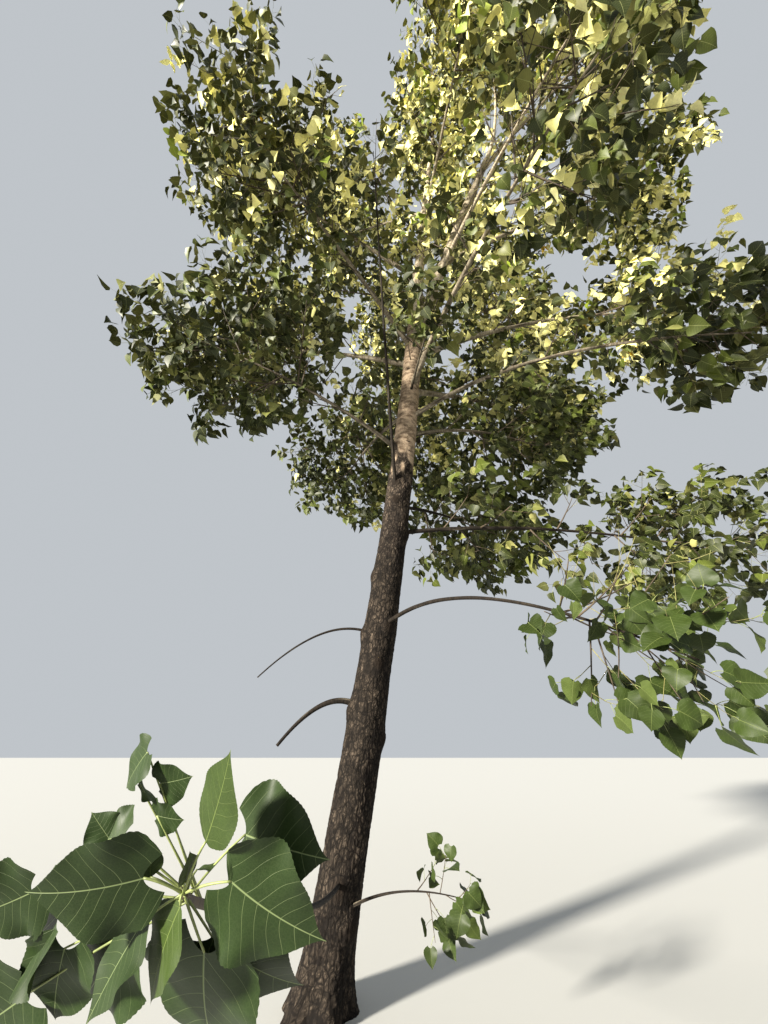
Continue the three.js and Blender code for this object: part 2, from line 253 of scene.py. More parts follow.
Arm = namedtuple("Arm", "where on at heading reach rise lift thick thin spread depth")
ARMS = [
    Arm(*row)
    for row in (
        ("leader_left", "trunk", 1, -47, 1.36, 8.9, 0, 0.118, 0.042, 1.82, 1.99),
        ("leader_right", "trunk", 0.95, -27, 1.98, 5.29, 2.65, 0.104, 0.068, 0, 0),
        ("upright", "leader_right", 1, -88, 1.53, 3.3, 0, 0.05, 0.024, 1.65, 1.82),
        ("slant", "leader_right", 0.93, -37, 3.38, 1.49, 0.9, 0.046, 0.023, 1.85, 1.85),
        ("high_left", "leader_left", 0.18, -165, 3.72, 2.1, 1.26, 0.048, 0.024, 2.04, 1.82),
        ("high_back", "leader_left", 0.24, 96, 3.73, 2.17, 1.3, 0.048, 0.024, 2.04, 1.82),
        ("high_front", "leader_left", 0.34, -77, 3.66, 1.99, 1.25, 0.044, 0.022, 1.71, 1.65),
        ("peak_left", "leader_left", 0.46, 147, 3.01, 2.55, 1.3, 0.042, 0.022, 1.93, 1.88),
        ("high_right", "leader_right", 0.38, -10, 4.13, 1.77, 1.1, 0.05, 0.025, 1.85, 1.65),
        ("high_right_back", "leader_right", 0.5, 51, 4.4, 1.99, 1.2, 0.048, 0.024, 2.04, 1.82),
        ("high_right_front", "leader_right", 0.33, -61, 4.03, 0.75, 0.9, 0.044, 0.023, 1.5, 1.4),
        ("peak_back", "leader_right", 0.8, 67, 3.21, 2.94, 1.5, 0.042, 0.022, 1.93, 1.88),
        ("mid_right", "trunk", 0.9, -3, 4.63, 0.92, 1.25, 0.05, 0.025, 1.7, 1.15),
        ("mid_right_front", "trunk", 0.8, -68, 3.59, 0.15, 0.75, 0.046, 0.024, 1.2, 1.05),
        ("mid_left_front", "trunk", 0.93, -137, 3.59, 1.89, 1.05, 0.044, 0.023, 1.6, 1.54),
        ("mid_left", "trunk", 0.88, 162, 3.79, 2.17, 1.2, 0.048, 0.024, 2.04, 1.71),
        ("mid_back", "trunk", 0.83, 83, 4.16, 2.22, 1.25, 0.048, 0.024, 1.98, 1.71),
        ("mid_right_back", "trunk", 0.8, 38, 4.54, 2.2, 1.3, 0.048, 0.024, 1.93, 1.65),
        ("fork_front", "trunk", 0.78, -79, 1.43, 0.16, 0.25, 0.024, 0.014, 0.78, 0.68),
        ("low_right_front", "trunk", 0.72, -25, 3.82, -0.37, 0.8, 0.034, 0.018, 0.95, 0.6),
        ("low_right", "trunk", 0.68, 25, 2.89, 0.81, 0.9, 0.036, 0.019, 1.4, 1.25),
        ("low_back", "trunk", 0.74, 114, 3.12, 0.8, 0.8, 0.034, 0.019, 1.65, 1.37),
        ("low_left", "trunk", 0.64, -161, 2.95, 1.15, 0.95, 0.032, 0.018, 1.54, 1.31),
        ("hanging_right", "trunk", 0.48, 2, 4.03, -0.19, 0.28, 0.028, 0.015, 1.45, 0.72),
        ("hanging_back", "trunk", 0.53, 54, 3.44, 1.07, 0.7, 0.026, 0.014, 1.6, 1.2),
        ("rising_left", "trunk", 0.53, -99, 2.03, 4.94, 1.53, 0.024, 0.011, 0.85, 0.82),
        ("near_right", "trunk", 0.335, -58, 2.65, -0.74, 0.28, 0.022, 0.01, 0.7, 0.62),
        ("sprout_front", "trunk", 0.085, -89, 3.47, 0.73, 0.18, 0.017, 0.007, 0.24, 0.22),
        ("sprout_foot", "trunk", 0.06, -40, 1.16, 0.27, 0.3, 0.013, 0.006, 0.38, 0.34),
        ("bare_left", "trunk", 0.235, 188, 0.78, -0.26, 0.29, 0.032, 0.013, 0, 0),
        ("bare_high", "trunk", 0.325, 184, 1.15, -0.4, 0.26, 0.015, 0.006, 0, 0),
    )
]
print("arms:", len(ARMS), "with foliage:", sum(arm.spread > 0 for arm in ARMS))

# %% [markdown]
# ## Paths
# A real limb leaves its carrier one way and is pulled another way, by its weight or by the
# light, so its middle line is a curve that bends once. A bend point between foot and end gives
# just that. All functions take whole arrays of paths, so ten thousand twigs and shoots cost no
# more code than one bough.


# %% Paths
def unit(vector):
    """Each vector divided by its own length."""
    return vector / np.linalg.norm(vector, axis=-1, keepdims=True)


def column(value):
    """A share, an angle or a length for each vector, set so that it scales the whole vector."""
    return np.asarray(value, float)[..., None]


def point(path, share):
    """foot (1 - s)^2 + bend 2 s (1 - s) + end s^2, at the share s."""
    foot, bend, end = np.moveaxis(path, -2, 0)
    s = column(share)
    return foot * (1 - s) ** 2 + bend * (2 * s * (1 - s)) + end * s**2


def along(path, share):
    """The direction of a path: (bend - foot)(1 - s) + (end - bend) s, made one long."""
    first, last = np.moveaxis(np.diff(path, axis=-2), -2, 0)
    s = column(share)
    return unit(first * (1 - s) + last * s)


def stretch(path, low, high):
    """The part of a path between two shares, as a path of its own.

    Its bend is foot (1 - low)(1 - high) + bend (low + high - 2 low high) + end low high.
    """
    foot, bend, end = np.moveaxis(path, -2, 0)
    turn = foot * (1 - low) * (1 - high) + bend * (low + high - 2 * low * high) + end * low * high
    return np.stack([point(path, low), turn, point(path, high)], axis=-2)


def chord(path):
    """The distance from foot to end."""
    return np.linalg.norm(path[..., 2, :] - path[..., 0, :], axis=-1)


def across(path):
    """The direction square to the plane in which a path bends."""
    first, last = np.moveaxis(np.diff(path, axis=-2), -2, 0)
    side = np.cross(first, last)
    straight = np.linalg.norm(side, axis=-1) < 1e-6 * np.sum(first**2, axis=-1)
    return unit(np.where(straight[..., None], np.cross(first, (0.3, 1, 0.1)), side))


def lean(axis, side, angle):
    """axis cos(angle) + side sin(angle): a direction that leans away from an axis."""
    return axis * np.cos(column(angle)) + side * np.sin(column(angle))


def sideways(path, share, roll):
    """(along x across) cos(roll) + across sin(roll): a direction square to the path."""
    side = across(path)
    return lean(np.cross(along(path, share), side), side, roll)


def arm_path(arm, carrier):
    """Foot, bend point and end of an arm, from its place on the path that carries it."""
    turn = np.radians(arm.heading)
    flat = np.array([np.cos(turn), np.sin(turn), 0])
    start = point(carrier, arm.at)
    end = start + arm.reach * flat + [0, 0, arm.rise]
    if arm.at < 1:
        return np.array([start, start + BEND_AT * arm.reach * flat + [0, 0, arm.lift], end])
    lead = along(carrier, 1)
    start = start + SEAT_GAP * lead
    return np.array([start, start + lead * np.linalg.norm(end - start) / 2, end])


limb_paths = {
    "trunk": np.array([(0, 0, 0), (LOW_SHIFT, 0, FORK_HEIGHT / 2), (FORK_SHIFT, 0, FORK_HEIGHT)])
}
for arm in ARMS:
    limb_paths[arm.where] = arm_path(arm, limb_paths[arm.on])
print("paths:", len(limb_paths), "top:", np.round(limb_paths["leader_left"][2], 2).tolist())

# %% [markdown]
# ## The room that each mass has
# In a crown the twigs of one bough rarely grow through those of the next: each keeps to the
# light that it has. The solids follow that by giving each mass an ellipsoid, cut off by planes
# towards its neighbours. The same spaces bound the real twigs here, a hand wider, which keeps
# the crown's outline and its gaps.

# %% Spaces of the masses
ENTRY = 0.78
ENTRY_SHARES = 0.2 + 0.004 * np.arange(176)
WIDER = 1.05
UNBOUND = -1
leafy = [arm for arm in ARMS if arm.spread]
mass_paths = np.array([limb_paths[arm.where] for arm in leafy])
spread = np.array([arm.spread for arm in leafy])
depth = np.array([arm.depth for arm in leafy])
middle = mass_paths[:, 2] - along(mass_paths, 1) * (STEM_END * spread)[:, None]
radii = np.stack([spread, spread, depth], axis=1)

mean_radii = radii.mean(axis=1)
wall_ways = middle[None] - middle[:, None]
wall_gaps = np.linalg.norm(wall_ways, axis=2) + np.eye(len(leafy))
wall_ways = wall_ways / wall_gaps[..., None]
wall_offsets = wall_gaps * mean_radii[:, None] / (mean_radii[:, None] + mean_radii)
wall_offsets[np.eye(len(leafy), dtype=bool)] = np.inf


def entry_share(number):
    """The first share of a bough's path at which it is well inside its mass's ellipsoid."""
    off = (point(mass_paths[number], ENTRY_SHARES) - middle[number]) / radii[number]
    inside = np.linalg.norm(off, axis=1) <= ENTRY
    return ENTRY_SHARES[np.argmax(inside)] if inside.any() else ENTRY_SHARES[-1]


entry = np.array([entry_share(number) for number in range(len(leafy))])


def room_left(owner, foot, way):
    """How far one can go from a foot in a direction before leaving the mass's space."""
    off = (foot - middle[owner]) / (WIDER * radii[owner])
    step = way / (WIDER * radii[owner])
    a = np.sum(step * step, axis=-1)
    b = np.sum(off * step, axis=-1)
    c = np.sum(off * off, axis=-1) - 1
    to_shell = (-b + np.sqrt(np.maximum(b * b - a * c, 0))) / a
    nearing = np.einsum("nd,nmd->nm", way, wall_ways[owner])
    done = np.einsum("nd,nmd->nm", foot - middle[owner], wall_ways[owner])
    to_wall = (wall_offsets[owner] - done) / np.maximum(nearing, 1e-6)
    left = np.maximum(np.minimum(to_shell, to_wall.min(axis=1)), 0)
    return np.where(owner == UNBOUND, np.inf, left)


print("masses:", len(leafy), "entries:", np.round(entry[:5], 2).tolist())

# %% [markdown]
# ## From arrays to a mesh
# All pieces are made the same way: an array of places, and arrays of faces that name their
# corners by number. `foreach_set` hands them to Blender in one go, which is what makes a
# million faces possible. Values that a material needs, such as how deep a furrow is, go along
# as attributes of the points.


# %% A helper for pieces
def piece(name, places, faces, material, nodes, uv=None, values=None):
    """A mesh object from places (n, 3) and a list of face arrays, each (faces, corners)."""
    mesh = bpy.data.meshes.new(name)
    corners = np.concatenate([part.ravel() for part in faces]).astype(np.int32)
    sides = np.concatenate([np.full(len(part), part.shape[1]) for part in faces])
    mesh.vertices.add(len(places))
    mesh.vertices.foreach_set("co", np.asarray(places, np.float32).ravel())
    mesh.loops.add(len(corners))
    mesh.loops.foreach_set("vertex_index", corners)
    mesh.polygons.add(len(sides))
    mesh.polygons.foreach_set("loop_start", (np.cumsum(sides) - sides).astype(np.int32))
    mesh.polygons.foreach_set("use_smooth", np.ones(len(sides), bool))
    mesh.update(calc_edges=True)
    if uv is not None:
        layer = mesh.uv_layers.new(name="leaf")
        layer.data.foreach_set("uv", np.asarray(uv, np.float32)[corners].ravel())
    for value_name, value in (values or {}).items():
        kind, field = ("FLOAT_VECTOR", "vector") if value.ndim == 2 else ("FLOAT", "value")
        attribute = mesh.attributes.new(value_name, kind, "POINT")
        attribute.data.foreach_set(field, value.astype(np.float32).ravel())
    mesh.materials.append(material)
    made = placed(name, mesh)
    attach(made, "root")
    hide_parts(*nodes)
    triangles = int(np.sum(sides - 2))
    print(f"{name}: {triangles} triangles")
    return triangles


def copies(faces, count, points):
    """The corner numbers of a template's faces, for copies of so many points one after another."""
    starts = np.arange(count)[:, None, None] * points
    return (faces + starts).reshape(-1, faces.shape[-1])


def tube_faces(count, rings, sides):
    """Corner numbers of tubes that follow one another: rings first, then the two end points."""
    side = np.arange(sides)
    beside = (side + 1) % sides
    ring = sides * np.arange(rings - 1)[:, None]
    walls = [ring + side, ring + side + sides, ring + beside + sides, ring + beside]
    last = (rings - 1) * sides
    pole = np.full(sides, rings * sides)
    foot = np.stack([pole, side, beside], axis=1)
    tip = np.stack([pole + 1, last + beside, last + side], axis=1)
    points = rings * sides + 2
    return [
        copies(np.stack(walls, axis=-1).reshape(-1, 4), count, points),
        copies(np.concatenate([foot, tip]), count, points),
    ]


def tube_places(paths, shares, sides, radius):
    """point(s) + radius sideways(s, roll), for each path, share and side, then both ends."""
    rolls = np.arange(sides) * TAU / sides
    wide = paths[:, None, None]
    side = sideways(wide, shares[..., None], rolls)
    rings = point(wide, shares[..., None]) + radius[..., None] * side
    ends = np.stack([point(paths, shares[..., 0]), point(paths, shares[..., -1])], axis=1)
    return np.concatenate([rings.reshape(len(paths), -1, 3), ends], axis=1).reshape(-1, 3)


print("helpers: piece, copies, tube_faces, tube_places")

# %% [markdown]
# ## Bark relief
# Young cottonwood bark is smooth and pale. From the foot upwards it splits into flat-topped
# ridges with shallow furrows between them that part and meet again. Noise textures could fake
# this in the shading, but the outline would stay smooth, so the relief is real: points strewn
# round the stem each claim a tall narrow plate, and the furrow is where two plates meet.


# %% Waves and plates
def waves(draw, roll, height, count=9, around=6, tall=1.2):
    """A seamless uneven field of about -1 to 1: a mean of cosines with whole turns around."""
    field = np.zeros(np.broadcast(roll, height).shape)
    for _ in range(count):
        turns = draw.integers(0, around + 1)
        pitch = draw.normal() / tall
        field = field + np.cos(turns * roll + TAU * pitch * height + draw.uniform(0, TAU))
    return field * np.sqrt(2 / count) / 1.5


def plate_border(draw, roll, height, around, tall):
    """How far inside its plate a point lies.

    That is the distance to the second nearest seed less the distance to the nearest one.
    """
    u = roll / TAU * around
    v = height / tall
    rows = int(np.max(v)) + 5
    seeds = draw.uniform(0.12, 0.88, (around, rows, 2))
    nearest = second = np.full(u.shape, np.inf)
    for du, dv in product((-1, 0, 1), repeat=2):
        cell_u = np.floor(u).astype(int) + du
        cell_v = np.floor(v).astype(int) + dv
        seed = seeds[cell_u % around, np.clip(cell_v + 2, 0, rows - 1)]
        away = np.hypot(cell_u + seed[..., 0] - u, cell_v + seed[..., 1] - v)
        second = np.minimum(second, np.maximum(nearest, away))
        nearest = np.minimum(nearest, away)
    return second - nearest


def smooth_step(low, high, value):
    """0 below low, 1 above high, 3 t^2 - 2 t^3 between."""
    t = np.clip((value - low) / (high - low), 0, 1)
    return t * t * (3 - 2 * t)


def wrapped(angle):
    """The same angle, between minus half a turn and half a turn."""
    return (angle + np.pi) % TAU - np.pi


print("helpers: waves, plate_border, smooth_step, wrapped")

# %% [markdown]
# ## The trunk's form
# A trunk tapers slowly, and only its foot flares out quickly, into ridges that run down to the
# main roots. Its form is a radius for each point of a grid of heights by turns, with the rings
# closer together near the foot, where the eye is near.

# %% Trunk form
TRUNK_RINGS = 610
TRUNK_SIDES = 156
RINGS_CROWD = 1.25
RIDGE_TURN = 0.6
SHOULDER = 0.45
SHOULDER_DROP = 0.026

trunk_shares = np.linspace(0, 1, TRUNK_RINGS) ** RINGS_CROWD * (1 + SHOULDER / FORK_HEIGHT)
trunk_rolls = np.arange(TRUNK_SIDES) * TAU / TRUNK_SIDES
height, roll = np.meshgrid(trunk_shares * FORK_HEIGHT, trunk_rolls, indexing="ij")

plain = BREAST_RADIUS + (BREAST_RADIUS - FORK_RADIUS) / (FORK_HEIGHT - BREAST_HEIGHT) * (
    BREAST_HEIGHT - np.minimum(height, FORK_HEIGHT)
)
ridges = 1 + RIDGE_DEPTH * np.cos(ROOT_RIDGES * roll + RIDGE_TURN)
flare = FLARE * np.exp(-height / FLARE_HEIGHT) * ridges
shoulder = SHOULDER_DROP * smooth_step(FORK_HEIGHT - 0.05, FORK_HEIGHT + SHOULDER, height)
print("trunk radius:", round(float((plain + flare).max()), 2), "to", round(float(plain.min()), 3))

# %% [markdown]
# ## Ridges and furrows
# The furrowed bark reaches higher on one side than on the other, and its upper edge is ragged.
# Small plates give the net of furrows, and tall ones a few long furrows through it. Above, the
# young bark is only slightly uneven.

# %% Ridges and furrows
ROUGH_UP_TO = 4.75
ROUGH_LEAN = 0.22
ROUGH_WAVE = 0.28
RIDGE_LIFT = 0.004
PLATES_AROUND = 30
PLATE_TALL = 0.1
FURROW_DEPTH = 0.006
LONG_FURROWS = 11
LONG_TALL = 0.42
UNDULATION = 0.0045
GRAIN = 0.0016
WARP_TURN, WARP_UP, LONG_WARP = 0.09, 0.1, 0.2
ROUGH_FADE = (-0.16, 0.14)
FURROW_EDGE = (0.02, 0.3)
LONG_EDGE = (0.01, 0.13)
OLDEST, YOUNGEST, YOUNGER_A_METRE = 1.15, 0.6, 0.1

draw = np.random.default_rng(SEED)
warp = waves(draw, roll, height, around=9, tall=0.35)
around, up = (roll + WARP_TURN * warp) % TAU, height + WARP_UP * warp
border = plate_border(draw, around, up, PLATES_AROUND, PLATE_TALL)
edge_waves = waves(draw, roll, height, around=8, tall=0.5)
edge = ROUGH_UP_TO - ROUGH_LEAN * np.cos(roll) + ROUGH_WAVE * edge_waves
rough = smooth_step(*ROUGH_FADE, edge - height)
older = np.clip(OLDEST - YOUNGER_A_METRE * height, YOUNGEST, OLDEST)
long_border = plate_border(draw, (roll + LONG_WARP * warp) % TAU, height, LONG_FURROWS, LONG_TALL)
furrow = (1 - smooth_step(*FURROW_EDGE, border)) * (0.6 + 0.4 * waves(draw, roll, height, tall=0.3))
furrow = np.clip(np.maximum(furrow, 1 - smooth_step(*LONG_EDGE, long_border)), 0, 1) * rough
undulation = UNDULATION * waves(draw, roll, height, around=4, tall=1.5)
grain = GRAIN * waves(draw, roll, height, count=24, around=60, tall=0.05) * (0.3 + 0.7 * rough)
print("plates:", PLATES_AROUND, "around, furrows up to", round(FURROW_DEPTH * 1000, 1), "mm deep")

# %% [markdown]
# ## Scars and collars
# Where a twig was shed, the smooth bark keeps a dark scar. The trunk swells into a collar round
# each low bough, and into a knob here and there. Each of these is a soft round spot on the grid,
# exp(-d^2) at the distance d from its middle.

# %% Scars and collars
SCARS = 26
SCARS_FROM = 2.6
SCAR_LIFT = 0.004
COLLARS_BELOW = 0.6
COLLAR_TALL = 0.085
COLLAR_WIDE = 0.07
COLLAR_SWELL = 0.026
KNOBS = ((0.212, -12), (0.29, -75), (0.405, 200), (0.5, -48), (0.565, -110))

scar = np.zeros_like(height)
for _ in range(SCARS):
    up, turn = draw.uniform(SCARS_FROM, FORK_HEIGHT), draw.uniform(0, TAU)
    tall, wide = draw.uniform(0.012, 0.03), draw.uniform(0.16, 0.42)
    off = np.hypot((height - up) / tall, wrapped(roll - turn) / wide)
    scar = np.maximum(scar, np.exp(-(off**2)))
collar = np.zeros_like(height)
low_arms = [arm for arm in ARMS if arm.on == "trunk" and arm.at < COLLARS_BELOW]
for at, heading in (*((arm.at, arm.heading) for arm in low_arms), *KNOBS):
    turned = wrapped(roll + np.radians(heading))
    off = np.hypot((height - at * FORK_HEIGHT) / COLLAR_TALL, turned * BREAST_RADIUS / COLLAR_WIDE)
    collar = np.maximum(collar, np.exp(-(off**2)))
trunk_radius = plain + flare - shoulder + undulation + grain + COLLAR_SWELL * collar
trunk_radius = trunk_radius + RIDGE_LIFT * rough - FURROW_DEPTH * older * furrow
trunk_radius = trunk_radius + SCAR_LIFT * scar * (1 - rough)
print("scars:", SCARS, "collars:", len(low_arms), "knobs:", len(KNOBS))

# %% [markdown]
# ## The trunk
# The grid of heights and turns is carried up the trunk's path. Two ends need care. At the foot
# the rings are laid level, so that the trunk stands on a flat cut as its solid does. At the fork
# the trunk runs on a little as a shoulder inside the two leaders, so that no step shows where
# they begin.

# %% Trunk
LEVEL_BELOW = 0.5
trunk_path = limb_paths["trunk"]
trunk_side = sideways(trunk_path, trunk_shares[:, None], trunk_rolls)
trunk_side[..., 2] *= smooth_step(0, LEVEL_BELOW, height)
trunk_places = point(trunk_path, trunk_shares)[:, None] + trunk_radius[..., None] * trunk_side
trunk_ends = point(trunk_path, trunk_shares[[0, -1]])
trunk_places = np.concatenate([trunk_places.reshape(-1, 3), trunk_ends])


def with_ends(field, tubes=1, width=1):
    """A field on the rings of some tubes as one list, with a plain value for both ends of each."""
    rows = field.reshape(tubes, -1, width)
    rows = np.concatenate([rows, np.zeros((tubes, 2, width))], axis=1)
    return rows.reshape(-1, width) if width > 1 else rows.ravel()


trunk_values = {
    "furrow": with_ends(furrow),
    "rough": with_ends(rough),
    "scar": with_ends(np.maximum(scar * (1 - rough), 0.9 * collar)),
    "straight": with_ends(np.stack([np.cos(roll) * plain, np.sin(roll) * plain, height], axis=-1), 1, 3),
}
print("trunk grid:", TRUNK_RINGS, "x", TRUNK_SIDES, "lowest:", round(float(trunk_places[:, 2].min()), 4))

# %% [markdown]
# ## Bark colour
# The same mottling shows on ridges, on smooth bark and on twigs, only in other colours and
# sizes, so it is a node group. It reads the place that a point would have on a straightened
# stem, which makes its streaks run with the limb wherever it leans. The group gives a colour and
# a height, and each material keeps its own shader.


# %% Mottling group
def attribute(tree, name, output="Fac"):
    """A value that goes along with the points of a mesh."""
    return node(tree, "Attribute", attribute_name=name).outputs[output]


mottling, given, result = new_group(
    "bark mottling", Light="Color", Dark="Color", Size="Float", Stretch="Float"
)
x, y, z = node(mottling, "SeparateXYZ", {0: attribute(mottling, "straight", "Vector")}).outputs
stretched = worked("MULTIPLY", z, given["Stretch"])
place = node(mottling, "CombineXYZ", {0: x, 1: y, 2: stretched}).outputs[0]
fine = noise(place, worked("MULTIPLY", given["Size"], 6.0), 3.0)
both = worked("ADD", noise(place, given["Size"], 5.0), worked("MULTIPLY", fine, 0.6))
mottled = mixed(ramped(both, 0.55, 1.05), given["Dark"], given["Light"])
mottling.links.new(mottled, result["Color"])
mottling.links.new(both, result["Height"])


def mottle(tree, light, dark, grain_size, stretch):
    """The outputs of the mottling group with a material's own colours and sizes."""
    inputs = {"Light": rgba(*light), "Dark": rgba(*dark), "Size": grain_size, "Stretch": stretch}
    return node(tree, "Group", inputs, node_tree=mottling).outputs


print("group:", mottling.name, "with", len(mottling.nodes), "nodes")

# %% [markdown]
# ## Bark of the trunk
# Old bark is grey-brown on its plates and nearly black in its cracks. The plate colours are partly the
# bark's own grey-brown and partly painted shade, darker than the bark in full light, and the near black in
# the cracks and furrows is partly their own colour and partly painted shade in the hollows. Cells of two
# sizes tint the plates and the flakes on them one by one, and level wrinkles cross them in patches. The
# mesh says where it is rough, furrowed or scarred, so colour and relief always agree. Bark has hardly any
# gloss: with more of it the bright room would lay a grey veil over the dark plates.


# %% Trunk bark
def cracks(place, cells, wide):
    """A mask of thin cracks between cells so many to the metre, and a random tint for each cell."""
    cell = {"Vector": place, "Scale": cells}
    border = node(place.id_data, "TexVoronoi", cell, feature="DISTANCE_TO_EDGE").outputs["Distance"]
    tint = node(place.id_data, "TexVoronoi", cell, feature="F1").outputs["Color"]
    return stripe(border, 0.15 * wide, wide), node(place.id_data, "SeparateXYZ", {0: tint}).outputs[0]


SWIRL_REACH = (0.045, 0.045, 0.1)
PLATE_LONG = (1.0, 1.0, 0.5)
PLATES = 25.0
FLAKES = 58.0
CRACK_WIDE, WRINKLE_WIDE = 0.2, 0.12
WRINKLE_FLAT = (0.3, 0.3, 2.2)
WRINKLES = 15.0
FLAKE_SHARE, WRINKLE_SHARE, YOUNG_SHARE, FURROW_SHARE = 0.8, 0.85, 0.1, 0.7
FRESH_FROM, FRESH_TO = 3.4, 4.4
FRESH_MORE = 1.3

trunk_bark, tree, shader = new_material("trunk bark", Roughness=0.88, Specular_IOR_Level=0.12)
# Ridge colours: partly the bark's own grey-brown, partly painted shade, darker than bark in full light.
ridge_and_painted_shade = mottle(tree, (92, 81, 70), (36, 31, 27), 13.0, 0.6)
young = mottle(tree, (184, 163, 139), (92, 76, 61), 12.0, 1.6)
place = attribute(tree, "straight", "Vector")
up = node(tree, "SeparateXYZ", {0: place}).outputs[2]
swirl = vectored("MULTIPLY", noise(place, 16.0, 3.0, "Color"), SWIRL_REACH)
place = vectored("MULTIPLY", vectored("ADD", place, swirl), PLATE_LONG)
wide_crack, plate_tint = cracks(place, PLATES, CRACK_WIDE)
thin_crack, flake_tint = cracks(place, FLAKES, CRACK_WIDE)
wrinkle, _ = cracks(vectored("MULTIPLY", place, WRINKLE_FLAT), WRINKLES, WRINKLE_WIDE)
wrinkle = worked("MULTIPLY", wrinkle, ramped(noise(place, 3.4, 1.0), 0.42, 0.52))
old = attribute(tree, "rough")
tint = worked("MULTIPLY_ADD", worked("ADD", plate_tint, flake_tint), 0.46, 0.27)
fresh = worked("MULTIPLY_ADD", ramped(up, FRESH_FROM, FRESH_TO), FRESH_MORE, 1.0)
tint = worked("MULTIPLY", tint, fresh)
plates = node(tree, "HueSaturation", {"Value": tint, "Color": ridge_and_painted_shade["Color"]}).outputs[0]
# The cracks, wrinkles and the mesh's furrows are painted near black: partly the cracks' own dark colour,
# partly painted shade in the hollows.
crack_and_painted_shade = worked("MAXIMUM", wide_crack, worked("MULTIPLY", thin_crack, FLAKE_SHARE))
crack_and_painted_shade = worked("MAXIMUM", crack_and_painted_shade, worked("MULTIPLY", wrinkle, WRINKLE_SHARE))
crack_and_painted_shade = worked("MULTIPLY", crack_and_painted_shade, worked("MULTIPLY_ADD", old, 0.85, YOUNG_SHARE))
crack_and_painted_shade = worked("MAXIMUM", crack_and_painted_shade, worked("MULTIPLY", attribute(tree, "furrow"), FURROW_SHARE))
bark = mixed(crack_and_painted_shade, mixed(old, young["Color"], plates), rgba(15, 12, 10))
bark = mixed(ramped(attribute(tree, "scar"), 0.3, 0.85), bark, rgba(30, 24, 19))
dress(shader, bark, worked("MULTIPLY_ADD", crack_and_painted_shade, -0.8, ridge_and_painted_shade["Height"]), 0.006)

trunk_faces = tube_faces(1, TRUNK_RINGS, TRUNK_SIDES)
total = piece("trunk_bark", trunk_places, trunk_faces, trunk_bark, ["trunk"],
              values=trunk_values)

# %% [markdown]
# ## Bark of the limbs
# Limbs are smooth, pale where they are thick and high up, and dark where they are thin and low. The dark
# is partly the thin boughs' own bark and partly painted shade, and the right leader is darkened by painted
# shade too. One value on the mesh mixes the two, so all limbs share a single material.

# %% Limb bark
limb_bark, tree, shader = new_material("limb bark", Roughness=0.8, Specular_IOR_Level=0.15)
young = mottle(tree, (204, 192, 168), (132, 118, 96), 10.0, 4.0)
# The dark bark is partly the thin boughs' own colour and partly painted shade.
dark = mottle(tree, (38, 32, 26), (18, 15, 12), 14.0, 3.0)
bark = mixed(attribute(tree, "pale"), dark["Color"], young["Color"])
dress(shader, bark, young["Height"], 0.003)
print("materials:", trunk_bark.name, "and", limb_bark.name)

# %% [markdown]
# ## Leaders and boughs
# A limb is widest in the collar where it leaves its carrier, and then tapers evenly. In the solids each
# bough ends where its mass begins and a stem goes on from there. The bark has no reason to stop, so here
# one tube covers both, and its radius follows the bough's rule and then the stem's. Light bark belongs to
# the thick young wood high up. The thin low boughs and the right leader are darker, partly in their own
# bark and partly as painted shade, and the low boughs are nearly black against the leaves.

# %% Leaders and boughs
# The right leader's 0.6 and the low boughs' value below 0 are painted shade, pulling them towards the dark
# bark.
PALENESS_WITH_PAINTED_SHADE = {"leader_left": 1.0, "leader_right": 0.6, "upright": 1.0, "slant": 1.0, "high_right_front": 0.7}
LOW_PALENESS_WITH_PAINTED_SHADE = -0.15
UNEVEN = 0.05
BLOTCHES = 0.18
entries = {arm.where: share for arm, share in zip(leafy, entry)}
sprout_bough = stretch(limb_paths["sprout_front"], 0, entries["sprout_front"])
bark_paths = {**limb_paths, "sprout_front": sprout_bough}
bark_entries = {**entries, "sprout_front": 1}


def limb_radius(arm, path, shares):
    """The bough's taper with its collar up to the entry share, then the stem's to 0.4 of thin."""
    to = bark_entries.get(arm.where, 1)
    part = np.clip(shares / to, 0, 1)
    long_way = np.linalg.norm(point(path, to) - point(path, 0))
    collar = 0 if arm.at == 1 else 0.5 * arm.thick * np.exp(-part * long_way / (2.5 * arm.thick))
    stem = 1 - 0.6 * np.clip((shares - to) / max(1 - to, 1e-6), 0, 1)
    return (arm.thick + (arm.thin - arm.thick) * part + collar) * stem


def paleness_with_painted_shade(arm):
    """How pale the bark of an arm is: the listed value, which holds painted shade for some arms, or by how
    thick it is.
    """
    listed = {**PALENESS_WITH_PAINTED_SHADE, **{low.where: LOW_PALENESS_WITH_PAINTED_SHADE for low in low_arms}}
    return listed.get(arm.where, np.clip(16 * arm.thick - 0.25, 0, 1))


def limb_piece(name, arms, rings, sides):
    """The bark of several arms in one piece."""
    count = len(arms)
    shares = np.linspace(0, 1, rings) ** 1.15
    rolls = np.arange(sides) * TAU / sides
    paths = np.array([bark_paths[arm.where] for arm in arms])
    smooth = np.array([limb_radius(arm, path, shares) for arm, path in zip(arms, paths)])[..., None]
    up = shares[:, None] * chord(paths)[:, None, None] + 20 * np.arange(count)[:, None, None]
    uneven = waves(draw, rolls, up, count=14, around=5, tall=0.4)
    pale = np.array([paleness_with_painted_shade(arm) for arm in arms])[:, None, None] + BLOTCHES * uneven
    straight = np.broadcast_arrays(np.cos(rolls) * smooth, np.sin(rolls) * smooth, up)
    values = {
        "pale": with_ends(np.clip(pale, 0, 1), count),
        "straight": with_ends(np.stack(straight, axis=-1), count, 3),
    }
    radius = smooth * (1 + UNEVEN * uneven)
    places = tube_places(paths, np.tile(shares, (count, 1)), sides, radius)
    nodes = [("" if arm.where.startswith("leader") else "bough_") + arm.where for arm in arms]
    return piece(name, places, tube_faces(count, rings, sides), limb_bark, nodes,
                 values=values)


